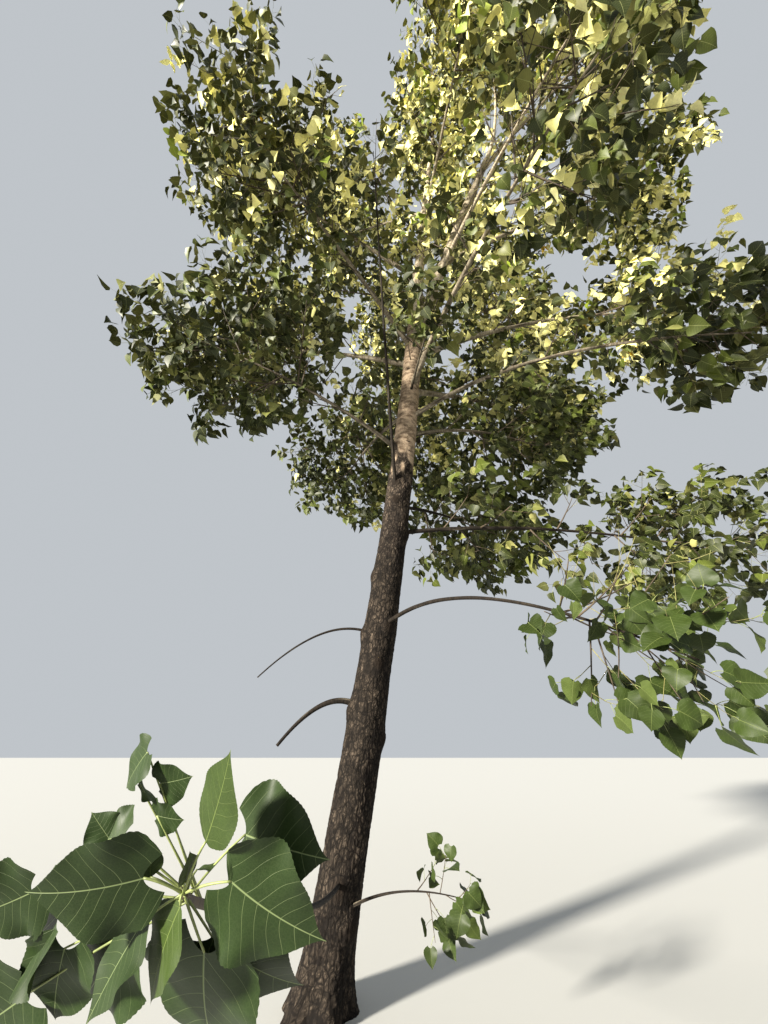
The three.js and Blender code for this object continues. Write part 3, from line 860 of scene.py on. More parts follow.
leaders = [arm for arm in ARMS if arm.where.startswith("leader")]
total += limb_piece("leader_bark", leaders, 150, 36)
total += limb_piece("bough_bark", [arm for arm in ARMS if arm not in leaders], 60, 18)

# %% [markdown]
# ## Branches by the source's rule
# The source draws five branches for each mass, with three sprays on each, from a seeded rule.
# The rule is written again here with the same draws, so the same five branches come out, and
# every branch that shows stands where its solid does.

# %% Source's branches
COUNTER_STEP = 0x6D2B79F5
BITS = 0xFFFFFFFF


def source_draws(seed):
    """The source's own draws: a counter whose bits are mixed by shifts and products."""
    state = seed
    while True:
        state = (state + COUNTER_STEP) & BITS
        bits = ((state ^ (state >> 15)) * (state | 1)) & BITS
        bits ^= (bits + ((bits ^ (bits >> 7)) * (bits | 61))) & BITS
        yield ((bits ^ (bits >> 14)) & BITS) / (BITS + 1)


def source_branches(number):
    """Share, tilt, roll and reach of the five branches that the source gives a mass."""
    draws = source_draws(SEED + number * 101)
    rows = []
    for k in range(BRANCHES):
        at, tilt, roll, filled = islice(draws, 4)
        part = (k + 0.25 + 0.5 * at) / BRANCHES
        tilt = np.radians(66 + 12 * tilt - 26 * part)
        roll = np.radians(54 + 144 * k) - 0.15 + 0.3 * roll
        rows.append((part, tilt, roll, 0.6 + 0.1 * filled))
        list(islice(draws, 4 * SIDE_BLADES + 1))
    return np.array(rows)


print("first branch of the first mass:", np.round(source_branches(0)[0], 2).tolist())

# %% [markdown]
# ## More branches
# A real mass has more and finer branches than five. Further ones follow the same rule from a
# second seed, and all of them become paths at once: a foot on the stem, a lean, and a length
# that fills some two thirds of the room there is.

# %% Branches
MORE_BRANCHES = 5.0
MORE_NEAR = 13
BUD_TURN = np.radians(144)
Wood = namedtuple("Wood", "paths thick thin owner")


def all_branches(draw, number):
    """The source's branches, and more between them by the same rule."""
    near = leafy[number].where == "near_right"
    more = MORE_NEAR if near else max(int(round(MORE_BRANCHES * spread[number])), 1)
    part = (np.arange(more) + draw.uniform(0, 1, more)) / more
    tilt = np.radians(draw.uniform(60, 82, more) - 26 * part)
    roll = np.arange(more) * BUD_TURN + draw.uniform(0, TAU) + draw.uniform(-0.3, 0.3, more)
    extra = np.stack([part, tilt, roll, draw.uniform(0.5, 0.72, more)], axis=1)
    return np.concatenate([source_branches(number), extra])


draw = np.random.default_rng(SEED + 1)
rows = [all_branches(draw, number) for number in range(len(leafy))]
owner = np.repeat(np.arange(len(leafy)), [len(row) for row in rows])
part, tilt, roll, filled = np.concatenate(rows).T
share = entry[owner] + (1 - entry[owner]) * (0.08 + 0.84 * part)
carrier = mass_paths[owner]
foot = point(carrier, share)
way = lean(along(carrier, share), sideways(carrier, share, roll), tilt)
reach = filled * room_left(owner, foot, way)
stem_thin = np.array([arm.thin for arm in leafy])[owner]
thick = 0.75 * stem_thin * (1 - 0.6 * (share - entry[owner]) / (1 - entry[owner]))
sag = 0.05 * reach[:, None] * np.array([0, 0, 1])
bend = foot + way * reach[:, None] * 0.5 - sag
branch_paths = np.stack([foot, bend, foot + way * reach[:, None] + sag], axis=1)
branches = Wood(branch_paths, thick, 0.4 * thick, owner)
print("branches:", len(owner))

# %% [markdown]
# ## Twigs and shoots
# Along a branch the buds stand in a spiral of two turns for five buds, and about half of them
# become twigs. Twigs near the tip are shorter, because they are younger. Each child is made
# from its parent's path: a foot at an even spacing with a small random step, a lean, a length
# and a slight turn upwards towards the light.


# %% Twigs and shoots
def side_rows(paths, spacing, first, least):
    """For each side limb: the row of its parent, its number there, and the count of them there."""
    count = np.maximum(np.rint(chord(paths) * (1 - first) / spacing), least).astype(int)
    row = np.repeat(np.arange(len(count)), count)
    return row, np.arange(len(row)) - np.repeat(np.cumsum(count) - count, count), count[row]


def grow(draw, parent, spacing, first, opens, longest, shrink, upturn, thickest, shortest):
    """One generation of side limbs, as whole arrays.

    Child k of a parent starts at first + (1 - first)(k + step) / count and is turned by k bud
    turns. Its length is longest (1 - shrink share), within the room left in the mass's space.
    """
    row, number, count = side_rows(parent.paths, spacing, first, 1)
    share = first + (1 - first) * (number + draw.uniform(0.15, 0.85, len(row))) / count
    first_roll = draw.uniform(0, TAU, len(parent.owner))[row]
    roll = first_roll + number * BUD_TURN + draw.uniform(-0.3, 0.3, len(row))
    path = parent.paths[row]
    foot = point(path, share)
    opened = np.radians(draw.uniform(*opens, len(row)))
    way = lean(along(path, share), sideways(path, share, roll), opened)
    longest = np.broadcast_to(longest, len(parent.owner))[row]
    reach = longest * (1 - shrink * share) * draw.uniform(0.7, 1.15, len(row))
    reach = np.minimum(reach, 0.97 * room_left(parent.owner[row], foot, way))
    up = np.array([0, 0, 1]) * reach[:, None]
    paths = np.stack([foot, foot + way * reach[:, None] * 0.55 - 0.3 * upturn * up,
                      foot + way * reach[:, None] + upturn * up], axis=1)
    thick = np.minimum(0.7 * (parent.thick + (parent.thin - parent.thick) * 0.5)[row], thickest)
    return chosen(Wood(paths, thick, 0.35 * thick, parent.owner[row]), reach > shortest)


def chosen(things, keep):
    """Only some of the limbs or leaves: every field, at the places that are kept."""
    return type(things)(*(field[keep] for field in things))


def joined(*woods):
    """Several sets of limbs as one."""
    return Wood(*(np.concatenate(fields) for fields in zip(*woods)))


BIG = 0.9
SMALL = 0.5
big, medium, little = (
    chosen(branches, (spread[branches.owner] > low) & (spread[branches.owner] <= high))
    for low, high in ((BIG, np.inf), (SMALL, BIG), (0, SMALL))
)
twigs = grow(draw, big, spacing=0.155, first=0.12, opens=(38, 62), longest=0.78, shrink=0.35,
             upturn=0.12, thickest=0.006, shortest=0.12)
shoots = grow(draw, joined(twigs, medium), spacing=0.14, first=0.18, opens=(35, 65), longest=0.3,
              shrink=0.3, upturn=0.15, thickest=0.003, shortest=0.05)
print("twigs:", len(twigs.owner), "shoots:", len(shoots.owner))

# %% [markdown]
# ## Twigs along the limbs
# The limbs aren't bare up to where their mass begins. Short branches stand on their outer part,
# on the leaders and round the fork, and close the crown from one mass to the next. They stay
# well within the crown, so nothing bounds them but their own length.

# %% Filling branches
Fill = namedtuple("Fill", "where low high longest")
FILLS = [
    Fill("trunk", 0.83, 1.0, 0.8),
    Fill("leader_left", 0.12, 0.8, 1.1),
    Fill("leader_right", 0.25, 1.0, 1.0),
    Fill("hanging_right", 0.12, entries["hanging_right"], 0.7),
] + [
    Fill(arm.where, 0.4 * entries[arm.where], entries[arm.where], 0.5 * arm.spread)
    for arm in leafy if arm.spread > BIG and arm.where not in ("leader_left", "hanging_right")
]


def even_wood(paths, thick, thin, owner):
    """Limbs that are all as thick and as thin."""
    return Wood(paths, *(np.full(len(paths), value) for value in (thick, thin, owner)))


limbs = np.array([stretch(limb_paths[fill.where], fill.low, fill.high) for fill in FILLS])
longest = np.array([fill.longest for fill in FILLS])
fill_branches = grow(draw, even_wood(limbs, 0.03, 0.02, UNBOUND), spacing=0.26, first=0,
                     opens=(45, 75), longest=longest, shrink=0.2, upturn=0.1, thickest=0.011,
                     shortest=0.15)
fill_twigs = grow(draw, fill_branches, spacing=0.17, first=0.2, opens=(38, 62), longest=0.42,
                  shrink=0.3, upturn=0.12, thickest=0.005, shortest=0.1)
fill_shoots = grow(draw, fill_twigs, spacing=0.14, first=0.2, opens=(35, 65), longest=0.26,
                   shrink=0.3, upturn=0.15, thickest=0.003, shortest=0.05)
print("filling branches:", len(fill_branches.owner), "shoots:", len(fill_shoots.owner))

# %% [markdown]
# ## Leaves on their stalks
# A cottonwood leaf hangs from a long stalk that is flat from side to side, so the slightest air
# turns it. The stalk leans out from the shoot and the blade hangs from its end, partly with the
# stalk and partly down, and a light wind turns all points a little to the right. The upper side
# turns outwards and to the side from which the light comes.

# %% Leaf stalks
Leaves = namedtuple("Leaves", "base way flat face length wide stalk owner spray")
TO_LIGHT = unit(TO_LAMP)
HANG = np.array([0.25, 0, -0.55])


def hang_leaves(draw, bearing, spacing, first, size):
    """Stalks along each shoot, and the way and face of the blade at the end of each."""
    row, number, count = side_rows(bearing.paths, spacing, first, 3)
    step = draw.uniform(0.2, 0.8, len(row))
    share = np.minimum(first + (1 - first) * (number + step + 0.5) / (count + 0.5), 1)
    first_roll = draw.uniform(0, TAU, len(bearing.owner))[row]
    roll = first_roll + number * BUD_TURN + draw.uniform(-0.35, 0.35, len(row))
    path = bearing.paths[row]
    foot = point(path, share)
    opened = np.radians(draw.uniform(35, 70, len(row)) * (1.15 - 0.45 * share))
    stalk_way = lean(along(path, share), sideways(path, share, roll), opened)
    length = np.broadcast_to(size, len(bearing.owner))[row] * draw.uniform(0.72, 1.12, len(row))
    base = foot + stalk_way * (length * draw.uniform(0.45, 0.75, len(row)))[:, None]
    way = unit(0.6 * stalk_way + HANG + 0.35 * draw.normal(0, 1, (len(row), 3)))
    owner = bearing.owner[row]
    out = unit(np.where(owner[:, None] == UNBOUND, stalk_way, base - middle[owner]))
    face = np.array([0, 0, 0.12]) + 0.25 * out + 0.7 * TO_LIGHT
    face = unit(face + 0.6 * draw.normal(0, 1, (len(row), 3)))
    flat = unit(np.cross(face, way))
    wide = draw.uniform(0.86, 1.06, len(row))
    made = Leaves(base, way, flat, np.cross(way, flat), length, wide, foot, owner, row)
    return chosen(made, room_left(owner, base, way) > 0.45 * length)


print("points hang along:", HANG.tolist(), "and faces turn to:", np.round(TO_LIGHT, 2).tolist())

# %% [markdown]
# ## The leaves of each bough
# All shoots bear leaves, and so do the outer parts of the twigs. The boughs in front bear larger
# leaves further apart, and the hanging one bears smaller ones close together. The sprays near
# the eye are kept apart, because their leaves are finer meshes.


# %% Leaves of each bough
def masses(*names):
    """The numbers of some masses."""
    return [number for number, arm in enumerate(leafy) if arm.where in names]


SPROUT = masses("sprout_front")
NEAR = masses("near_right", "sprout_foot")
NEAREST = masses("mid_right_front")
PALE_FRONT = masses("mid_right_front", "high_right_front")
FRONT = masses("mid_right_front", "high_right_front", "low_right_front")
HANGING = masses("hanging_right")
LEAF, LEAF_SPACING = 0.152, 0.042
FRONT_LEAF, FRONT_SPACING = 0.172, 0.047
HANGING_LEAF, HANGING_SPACING = 0.126, 0.034
NEAR_LEAF, NEAR_SPACING = 0.114, 0.05
NEAREST_LEAF = 0.142
twig_ends = joined(twigs, fill_twigs)
twig_ends = Wood(stretch(twig_ends.paths, 0.6, 1), *twig_ends[1:])
bearing = joined(shoots, twig_ends, fill_shoots, little)
bearing = chosen(bearing, ~np.isin(bearing.owner, SPROUT))
close = np.isin(bearing.owner, NEAR)
far = chosen(bearing, ~close)
nearest, front, hanging = (np.isin(far.owner, some) for some in (NEAREST, FRONT, HANGING))
leaf_size = np.select([nearest, front, hanging], [NEAREST_LEAF, FRONT_LEAF, HANGING_LEAF], LEAF)
leaf_spacing = np.select([front, hanging], [FRONT_SPACING, HANGING_SPACING], LEAF_SPACING)
leaves = hang_leaves(draw, far, leaf_spacing, 0.12, leaf_size)
near_leaves = hang_leaves(draw, chosen(bearing, close), NEAR_SPACING, 0.15, NEAR_LEAF)
print("leaves:", len(leaves.length), "near the eye:", len(near_leaves.length))

# %% [markdown]
# ## Boughs in sight
# High up, four pale limbs can be seen for much of their length, because few sprays hang in
# front of them. Twigs could be cut away by hand there. Here each leaf and each point of those
# limbs is turned into a place in the picture and a distance, and a leaf is left out where it
# would hide the limb. The spray near the eye bears its leaves low, below the hanging boughs.

# %% Boughs in sight
IN_SIGHT = (
    ("leader_right", 0.55, 1.0),
    ("upright", 0.0, 0.6),
    ("slant", 0.0, 0.7),
    ("high_right_front", 0.3, 0.8),
)
LIMB_POINTS = 30
SIGHT_PIXELS = 3
NEAR_TOP_PIXELS = -72
PICTURE = np.array([
    (1, 0, 0),
    (0, -np.sin(TILT_UP), np.cos(TILT_UP)),
    (0, -np.cos(TILT_UP), -np.sin(TILT_UP)),
])


def seen_at(places):
    """Pixels to the right of the picture's middle and above it, and the distance along the view."""
    right, up, nearer = ((places - EYE) @ PICTURE.T).T
    away = np.where(-nearer > SEEN_FROM, -nearer, np.inf)
    return FOCAL_PIXELS * right / away, FOCAL_PIXELS * up / away, away


limb_points = np.concatenate([
    point(limb_paths[name], np.linspace(low, high, LIMB_POINTS)) for name, low, high in IN_SIGHT
])
leaf_right, leaf_up, leaf_away = seen_at(leaves.base + 0.5 * leaves.length[:, None] * leaves.way)
limb_right, limb_up, limb_away = seen_at(limb_points)
beside = np.hypot(leaf_right[:, None] - limb_right, leaf_up[:, None] - limb_up)
clear = SIGHT_PIXELS + 0.5 * FOCAL_PIXELS * leaves.length / leaf_away
hiding = np.any((beside < clear[:, None]) & (leaf_away[:, None] < limb_away), axis=1)
leaves = chosen(leaves, ~hiding)
near_leaves = chosen(near_leaves, seen_at(near_leaves.base)[1] < NEAR_TOP_PIXELS)
print("left out in front of limbs:", int(hiding.sum()), "near leaves kept:", len(near_leaves.length))

# %% [markdown]
# ## The surface of a leaf
# A blade has a midrib, side veins that sweep forward to the edge, and a fine net between them.
# An image could hold them, but here they are worked out from the leaf's own flat coordinates, in
# which the rib runs from 0 to 1, so that one group fits leaves of every size and bend.

# %% Leaf surface
VEIN_BOWS = 1.15
VEIN_SLANT = 0.62
VEINS_A_SIDE = 7.5
NET_CELLS = 34.0
leaf_surface, given, result = new_group(
    "leaf surface", Base="Color", Vein="Color", Vein_Share="Float", Net_Share="Float"
)
uv = node(leaf_surface, "UVMap", uv_map="leaf").outputs[0]
rib_way, side_way, _ = node(leaf_surface, "SeparateXYZ", {0: uv}).outputs
off_rib = worked("ABSOLUTE", side_way)
rib = stripe(off_rib, 0.003, worked("MULTIPLY_ADD", rib_way, -0.008, 0.014))
swept = worked("MULTIPLY", worked("POWER", off_rib, VEIN_BOWS), VEIN_SLANT)
start = worked("MULTIPLY_ADD", noise(uv, 2.6, 0.0), 0.09, rib_way)
phase = worked("FRACT", worked("MULTIPLY", worked("SUBTRACT", start, swept), VEINS_A_SIDE))
off_vein = worked("ABSOLUTE", worked("SUBTRACT", phase, 0.5))
side_vein = stripe(off_vein, 0.006, worked("MULTIPLY_ADD", off_rib, -0.06, 0.04))
cells = node(leaf_surface, "TexVoronoi", {"Vector": uv, "Scale": NET_CELLS}, feature="DISTANCE_TO_EDGE")
net = worked("MULTIPLY", stripe(cells.outputs["Distance"], 0.01, 0.12), given["Net Share"])
veins = worked("MAXIMUM", worked("MAXIMUM", rib, worked("MULTIPLY", side_vein, 0.5)), net)
place = node(leaf_surface, "TexCoord").outputs["Object"]
speck = noise(place, 60.0, 3.0)
bright = worked("ADD", worked("MULTIPLY", noise(place, 3.1, 2.0), 1.3), 0.12)
bright = worked("ADD", bright, worked("MULTIPLY", speck, 0.45))
tinted = node(leaf_surface, "HueSaturation", {"Value": bright, "Color": given["Base"]}).outputs[0]
veined = mixed(worked("MULTIPLY", veins, given["Vein Share"]), tinted, given["Vein"])
leaf_surface.links.new(veined, result["Color"])
uneven = worked("ADD", worked("MULTIPLY", veins, -0.5), worked("MULTIPLY", speck, 0.3))
leaf_surface.links.new(uneven, result["Height"])
print("group:", leaf_surface.name, "with", len(leaf_surface.nodes), "nodes")

# %% [markdown]
# ## Leaf colours
# Seen from below against the light, no two sprays have the same colour: some blades are lit pale cream,
# some are deep green in the shade, a few glow yellow-green, and one in a few hundred has turned gold. The
# pale cream tone is painted sunlight, the deep tone painted shade and the bright yellow-green tone a
# painted glow of light through the blade; the mid and olive greens lie between, and the gold is the
# leaves' own. A picture could hold all that; here each tone is a material and each spray gets one.
# The share of each tone is given for low sprays, for high ones and for those in front.


# %% Leaf tones
def leaf_material(name, upper, under, vein, vein_share=0.4, net_share=0.0, shine=0.26):
    """A leaf tone: one colour above, a duller and paler one underneath, and veins."""
    material, tree, shader = new_material(name, Specular_IOR_Level=shine)
    behind = node(tree, "NewGeometry").outputs["Backfacing"]
    base = mixed(behind, rgba(*upper), rgba(*under))
    inputs = {"Base": base, "Vein": rgba(*vein), "Vein Share": vein_share, "Net Share": net_share}
    surface = node(tree, "Group", inputs, node_tree=leaf_surface).outputs
    tree.links.new(worked("MULTIPLY_ADD", behind, 0.2, 0.48), shader.inputs["Roughness"])
    dress(shader, surface["Color"], surface["Height"], 0.001)
    return material


Tone = namedtuple("Tone", "name upper under low high front")
# Tones: deep is painted shade, pale is painted sunlight, bright is a painted glow of light through the
# blade, gold is the leaves' own; columns are name, upper, under, and the shares low, high and front.
TONES = [
    Tone("deep", (37, 44, 11), (62, 65, 30), 0.68, 0.22, 0.42),
    Tone("mid", (68, 77, 26), (102, 103, 54), 0.26, 0.19, 0.2),
    Tone("olive", (100, 103, 52), (140, 138, 84), 0.05, 0.14, 0.14),
    Tone("pale", (232, 226, 146), (243, 238, 172), 0.0, 0.45, 0.25),
    Tone("bright", (112, 126, 38), (138, 150, 62), 0.002, 0.035, 0.02),
    Tone("gold", (196, 156, 36), (204, 172, 70), 0.0, 0.002, 0.0),
]
TONE_VEIN = (196, 200, 132)
tone_materials = [leaf_material("leaf " + tone.name, tone.upper, tone.under, TONE_VEIN) for tone in TONES]
print("leaf tones:", [tone.name for tone in TONES])

# %% [markdown]
# ## The shape of one leaf
# A leaf is a flat outline that is folded on its midrib and bent along an arc. In the crown it is
# twelve points: three and a tip on the midrib, and four on each edge that give the broad base
# and the long point. Every leaf is this small template, turned, scaled and bent by its own
# numbers, so the whole crown is one product of arrays. The masses nearest to the eye get a
# rounder template of twice as many faces, from one formula for the outline: the width grows
# fast from the stalk and dies away to the point.

# %% Leaf shape
RIB = np.array([(0, 0), (0.34, 0), (0.7, 0), (1, 0)])
EDGE = np.array([(-0.03, 0.26), (0.14, 0.5), (0.46, 0.41), (0.79, 0.13)])
TEMPLATE = np.concatenate([RIB, EDGE, EDGE * [1, -1]])
BLADE = np.array([
    (5, 4, 0), (1, 5, 0), (6, 5, 1), (2, 6, 1), (7, 6, 2), (3, 7, 2),
    (8, 9, 0), (9, 1, 0), (9, 10, 1), (10, 2, 1), (10, 11, 2), (11, 3, 2),
])
STALK_WIDTH = 0.0028


def leaf_places(leaves, template, curl, fold, ripple=0.0):
    """base + length (x way + y flat + z face) for each point (u, v) of a template.

    x = sin(c u) / c and z = -(1 - cos(c u)) / c bend the leaf by the angle c over its length.
    z also rises by the fold times |v|, and by the ripple times v^2 in waves along the edge.
    """
    u, v = template.T
    curl, fold = curl[:, None], fold[:, None]
    v = v * leaves.wide[:, None]
    wave = ripple * v**2 * np.sin(11 * u + 7 * np.arange(len(curl))[:, None] + 2 * np.sign(v))
    x = np.sin(curl * u) / curl
    y = v * np.cos(fold)
    z = -(1 - np.cos(curl * u)) / curl + np.abs(v) * np.sin(fold) + wave
    offset = (x[..., None] * leaves.way[:, None] + y[..., None] * leaves.flat[:, None]
              + z[..., None] * leaves.face[:, None])
    return leaves.base[:, None] + leaves.length[:, None, None] * offset


def fine_blade(rows, columns, full, fall, lobe, teeth=1, tooth=0, rise=0.065):
    """Points (u, v) over a broad leaf, and its four-sided faces.

    At the share t along the rib the half width is 0.6 (1 - t / 4) (1 - t^full)^fall
    (1 - exp(-(t + 0.027) / rise)), and |sin| teeth stand on the edge.
    The base is drawn back by the lobe on both sides of the stalk.
    """
    t = np.linspace(0, 0.995, rows)[:, None]
    s = np.linspace(-1, 1, columns)[None]
    half = 0.6 * (1 - t / 4) * (1 - t**full) ** fall * (1 - np.exp(-(t + 0.027) / rise))
    edge = tooth * np.abs(np.sin(np.pi * teeth * t)) * np.sqrt(1 - t) * (np.abs(s) > 0.999)
    u = t - lobe * s**2 * np.exp(-t / 0.12)
    v = s * half + np.sign(s) * edge
    here = columns * np.arange(rows - 1)[:, None] + np.arange(columns - 1)
    faces = np.stack([here, here + columns, here + columns + 1, here + 1], axis=-1)
    return np.stack([u, v], axis=-1).reshape(-1, 2), faces.reshape(-1, 4)


def stalk_places(leaves):
    """The four corners of each flat stalk, from its foot on the shoot to the base of the blade."""
    half = STALK_WIDTH / 2 * leaves.flat
    return np.stack([leaves.stalk - half, leaves.stalk + half,
                     leaves.base + half, leaves.base - half], axis=1)


ROUND_TEMPLATE, ROUND_BLADE = fine_blade(7, 3, full=3.2, fall=1.7, lobe=0.1)
print("triangles of a leaf:", len(BLADE) + 2, "and in front:", 2 * len(ROUND_BLADE) + 2)

# %% [markdown]
# ## Dealing the tones and building the leaves
# A spray high up and to the right stands in the light and gets the pale tone, painted sunlight, more
# often, and one low down gets the green ones, with the deep tone among them as painted shade. All leaves
# of a tone are joined, in parts of under 200,000 triangles, with the rounder ones in front as a piece of
# their own.

# %% Leaf pieces
LEAVES_IN_PIECE = 14000
mass_nodes = ["leaves_" + arm.where.replace("leader_left", "top") for arm in leafy]


def nodes_of(owner):
    """The solids of the masses that some limbs or leaves belong to."""
    return [mass_nodes[number] for number in np.unique(owner) if number != UNBOUND]


def deal_tones(draw, leaves):
    """A tone for each spray, by shares that go from the low ones to the high or the front ones."""
    sprays, first = np.unique(leaves.spray, return_index=True)
    spot = leaves.base[first]
    # How much painted sunlight a spray gets: the pale tone is dealt more often high up and to the right,
    # the deep painted shade more often low down.
    light = smooth_step(5.2, 9.8, spot[:, 2]) * (0.55 + 0.45 * smooth_step(-1.5, 2.5, spot[:, 0]))
    pale_front = np.isin(leaves.owner[first], PALE_FRONT)[:, None]
    light = np.where(pale_front, smooth_step(4.8, 6.6, spot[:, 2:]), light[:, None])
    low, high, front = np.array([(tone.low, tone.high, tone.front) for tone in TONES]).T
    shares = np.cumsum(low + (np.where(pale_front, front, high) - low) * light, axis=1)
    dealt = np.sum(draw.uniform(0, 1, (len(sprays), 1)) * shares[:, -1:] > shares, axis=1)
    return dealt[np.searchsorted(sprays, leaves.spray)]


def leaf_piece(name, leaves, template, blade, material):
    """One piece of leaves of a template, each with its flat stalk."""
    count = len(leaves.length)
    curl = draw.uniform(0.15, 0.95, count)
    fold = draw.uniform(0.08, 0.6, count)
    places = np.concatenate([leaf_places(leaves, template, curl, fold), stalk_places(leaves)], axis=1)
    uv = np.concatenate([template, np.zeros((4, 2))])
    stalk = np.arange(4)[None] + len(template)
    faces = [copies(blade, count, len(uv)), copies(stalk, count, len(uv))]
    return piece(name, places.reshape(-1, 3), faces, material, nodes_of(leaves.owner),
                 uv=np.tile(uv, (count, 1)))


tone_of = deal_tones(draw, leaves)
in_front = np.isin(leaves.owner, FRONT)
for number, (tone, material) in enumerate(zip(TONES, tone_materials)):
    behind = np.flatnonzero((tone_of == number) & ~in_front)
    parts = np.array_split(behind, max(int(np.ceil(len(behind) / LEAVES_IN_PIECE)), 1))
    for index, rows in enumerate(parts):
        name = f"leaves_{tone.name}_{index + 1}"
        total += leaf_piece(name, chosen(leaves, rows), TEMPLATE, BLADE, material)
    some = chosen(leaves, (tone_of == number) & in_front)
    if len(some.length):
        name = f"leaves_{tone.name}_front"
        total += leaf_piece(name, some, ROUND_TEMPLATE, ROUND_BLADE, material)

# %% [markdown]
# ## Branches, twigs and shoots as meshes
# Wood inside the crown is dark against the leaves. Branches get five sides, twigs and shoots
# three, which is enough at their few millimetres. Shoots of the year are still green-brown, so
# they take a material of their own.


# %% Wood in the crown
def skin(name, light, dark, grain_size, roughness, relief):
    """A material of mottled bark or skin in two colours."""
    material, tree, shader = new_material(name, Roughness=roughness)
    mottled = mottle(tree, light, dark, grain_size, 0.5)
    dress(shader, mottled["Color"], mottled["Height"], relief)
    return material


def wood_piece(name, wood, rings, sides, material):
    """Plain tapering tubes for one generation of limbs."""
    shares = np.linspace(0, 1, rings)
    radius = (wood.thick[:, None] + (wood.thin - wood.thick)[:, None] * shares)[..., None]
    count = len(wood.owner)
    places = tube_places(wood.paths, np.tile(shares, (count, 1)), sides, radius)
    straight = places - np.repeat(wood.paths[:, 0], rings * sides + 2, axis=0)
    return piece(name, places, tube_faces(count, rings, sides), material,
                 nodes_of(wood.owner), values={"straight": straight})


twig_bark = skin("twig bark", (84, 71, 54), (38, 30, 22), 22.0, roughness=0.75, relief=0.002)
shoot_bark = skin("shoot bark", (142, 138, 84), (84, 76, 46), 26.0, roughness=0.6, relief=0.001)
shown_branches = joined(chosen(branches, ~np.isin(branches.owner, SPROUT)), fill_branches)
total += wood_piece("branches", shown_branches, 6, 5, twig_bark)
total += wood_piece("twigs", joined(twigs, fill_twigs), 4, 3, twig_bark)
total += wood_piece("shoots", joined(shoots, fill_shoots), 3, 3, shoot_bark)

# %% [markdown]
# ## Leaves near the eye
# On the low sprays one can count the teeth of each leaf, so these leaves get a fine grid
# instead of twelve points, by the same formula as the rounder leaves in front. Round teeth stand
# on the edge, and the blade waves a little.


# %% Fine leaves
def fine_leaves(name, leaves, template, faces, curl, fold, material, ripple=0.16):
    """One piece of fine leaves."""
    count = len(leaves.length)
    places = leaf_places(leaves, template, curl, fold, ripple).reshape(-1, 3)
    return piece(name, places, [copies(faces, count, len(template))], material,
                 nodes_of(leaves.owner), uv=np.tile(template, (count, 1)))


def stalks_of(leaves, rise, thick):
    """Round stalks from foot to blade that arch by the rise."""
    arch = (leaves.stalk + leaves.base) / 2 + rise
    paths = np.stack([leaves.stalk, arch, leaves.base], axis=1)
    return even_wood(paths, thick, 0.75 * thick, leaves.owner)


near_tone = leaf_material("leaf near", (40, 52, 18), (65, 77, 34), (122, 132, 78), 0.5, 0.06, 0.2)
stalk_skin = skin("leaf stalk", (134, 144, 86), (98, 108, 57), 30.0, roughness=0.5, relief=0.0005)
template, faces = fine_blade(25, 9, full=3.6, fall=1.9, lobe=0.12, teeth=12, tooth=0.02)
curl = draw.uniform(0.2, 0.8, len(near_leaves.length))
fold = draw.uniform(0.05, 0.3, len(near_leaves.length))
total += fine_leaves("near_leaves", near_leaves, template, faces, curl, fold, near_tone)
total += wood_piece("near_stalks", stalks_of(near_leaves, [0, 0, 0.008], 0.0015), 5, 4, stalk_skin)

# %% [markdown]
# ## The rosette in front
# A thin sprout from the foot of the trunk reaches out towards the eye and ends in a rosette of
# large leaves. These were measured one by one from the photograph: for each leaf the base and
# the point, in metres to the right of the hub, above it and nearer to the eye, then its width
# as a share of the usual one, its turn about its own rib, and a 1 for a young one.

# %% Rosette
HUB = np.array([0.211, -3.368, 1.357])
Blade = namedtuple("Blade", "base tip wide turn young")
ROSETTE = [
    Blade((0.061, 0.026, 0.012), (0.174, -0.035, 0.02), 0.98, -1, 0),
    Blade((-0.041, 0.03, 0.012), (-0.173, 0.022, 0.02), 0.81, 0, 0),
    Blade((0.057, 0.033, -0.045), (0.1715, 0.013, -0.03), 1.0, -24, 0),
    Blade((0.026, 0.062, 0), (0.064, 0.186, 0.02), 0.63, 142, 1),
    Blade((0.001, -0.004, 0.01), (-0.022, -0.096, 0.03), 0.9, 48, 1),
    Blade((-0.053, -0.039, 0), (-0.089, -0.109, 0.04), 0.95, 58, 0),
    Blade((0.024, -0.07, 0), (0.02, -0.259, -0.05), 0.72, 15, 0),
    Blade((0.02, -0.084, -0.03), (0.134, -0.171, -0.05), 0.95, 10, 0),
    Blade((-0.184, -0.122, -0.05), (-0.205, -0.231, -0.06), 0.95, 10, 0),
    Blade((-0.236, -0.057, -0.06), (-0.328, -0.1, -0.07), 0.98, 0, 0),
    Blade((-0.238, -0.186, -0.05), (-0.342, -0.273, -0.08), 1, 5, 0),
    Blade((-0.208, -0.097, -0.07), (-0.282, -0.194, -0.1), 1, 58, 0),
    Blade((-0.124, -0.14, -0.07), (-0.192, -0.246, -0.1), 1, 20, 0),
    Blade((-0.104, 0.04, -0.13), (-0.045, 0.062, -0.115), 0.95, 0, 0),
    Blade((-0.109, -0.009, -0.13), (-0.058, -0.004, -0.115), 1.0, 5, 0),
    Blade((-0.13, 0.082, -0.14), (-0.17, 0.016, -0.15), 0.9, 50, 0),
    Blade((-0.143, 0.033, -0.14), (-0.123, -0.009, -0.16), 1, 55, 0),
    Blade((-0.174, -0.038, -0.12), (-0.21, -0.003, -0.13), 1, 38, 0),
    Blade((-0.146, -0.025, -0.11), (-0.204, -0.049, -0.13), 1.1, 50, 0),
    Blade((0.001, 0.001, -0.03), (0.022, -0.005, -0.05), 0.9, 55, 1),
    Blade((-0.053, 0.001, -0.02), (-0.056, 0.033, -0.03), 0.9, 40, 1),
    Blade((0.002, 0.014, 0), (0.012, 0.061, 0.01), 0.6, 70, 1),
]
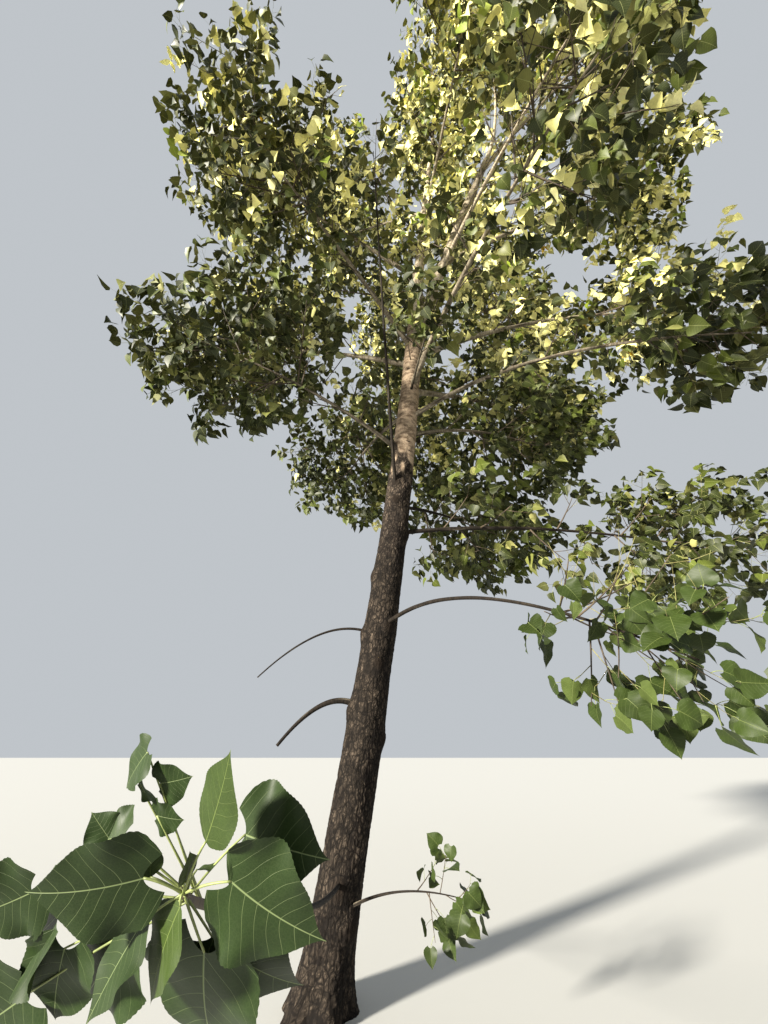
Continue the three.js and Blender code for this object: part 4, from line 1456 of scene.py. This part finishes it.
print("rosette leaves:", len(ROSETTE), "young:", sum(blade.young for blade in ROSETTE))

# %% [markdown]
# ## Building the rosette
# A bent leaf is an arc whose chord runs from base to point, so it starts half its bend off the
# chord and is a little longer. Leaves that stand further back are older and start lower on the
# stem. A small pointed bud closes the tip.

# %% Rosette pieces
LOWEST_STALK = 0.8
BACK_TO_LOWEST = 0.2
stem_foot = sprout_bough[2]
stem_way = along(sprout_bough, 1.0)
stem_path = np.array([stem_foot, stem_foot + 0.5 * np.linalg.norm(HUB - stem_foot) * stem_way, HUB])
base, tip, wide, turn, young = (np.array(values) for values in zip(*ROSETTE))
stalk_share = 1 - np.clip(-base[:, 2] / BACK_TO_LOWEST, 0.0, LOWEST_STALK)
rib = unit((tip - base) @ PICTURE)
square = unit(PICTURE[2] - np.sum(rib * PICTURE[2], axis=1, keepdims=True) * rib)
turned = lean(square, np.cross(rib, square), np.radians(turn))
count = len(ROSETTE)
curl = draw.uniform(0.15, 0.45, count)
fold = draw.uniform(0.03, 0.12, count)
way, face = lean(rib, turned, curl / 2), lean(turned, -rib, curl / 2)
length = np.linalg.norm(tip - base, axis=1) * (curl / 2 / np.sin(curl / 2))
rosette = Leaves(HUB + base @ PICTURE, way, np.cross(face, way), face, length, wide,
                 point(stem_path, stalk_share), np.full(count, SPROUT[0]), np.arange(count))
old_tone = leaf_material("leaf rosette", (35, 50, 21), (55, 71, 29), (132, 146, 100), 0.6, 0.04, 0.2)
young_tone = leaf_material("leaf rosette young", (46, 62, 18), (44, 60, 18), (106, 120, 62), 0.6, 0.1)
for name, rows, tone, lobe, rise in (
    ("rosette_leaves", young == 0, old_tone, 0.16, 0.065),
    ("rosette_young", young == 1, young_tone, 0, 0.17),
):
    template, faces = fine_blade(97, 13, full=3.8, fall=2.1, lobe=lobe, teeth=26, tooth=0.013, rise=rise)
    some = chosen(rosette, rows)
    total += fine_leaves(name, some, template, faces, curl[rows], fold[rows], tone, ripple=0.24)
arch = 0.012 * PICTURE[1] + 0.006 * PICTURE[2]
total += wood_piece("rosette_stalks", stalks_of(rosette, arch, 0.0017), 12, 8, stalk_skin)
stem_thin = leafy[SPROUT[0]].thin
stem = even_wood(stem_path[None], stem_thin, 0.6 * stem_thin, SPROUT[0])
bud_path = np.array([HUB, HUB + 0.006 * PICTURE[1], HUB + 0.014 * PICTURE[1] + 0.006 * PICTURE[2]])
bud = even_wood(bud_path[None], 0.0028, 0.0004, SPROUT[0])
total += wood_piece("sprout_stem", joined(stem, bud), 12, 10, twig_bark)
print("longest leaf:", round(float(rosette.length.max()), 3), "m")
print("triangles so far:", total)
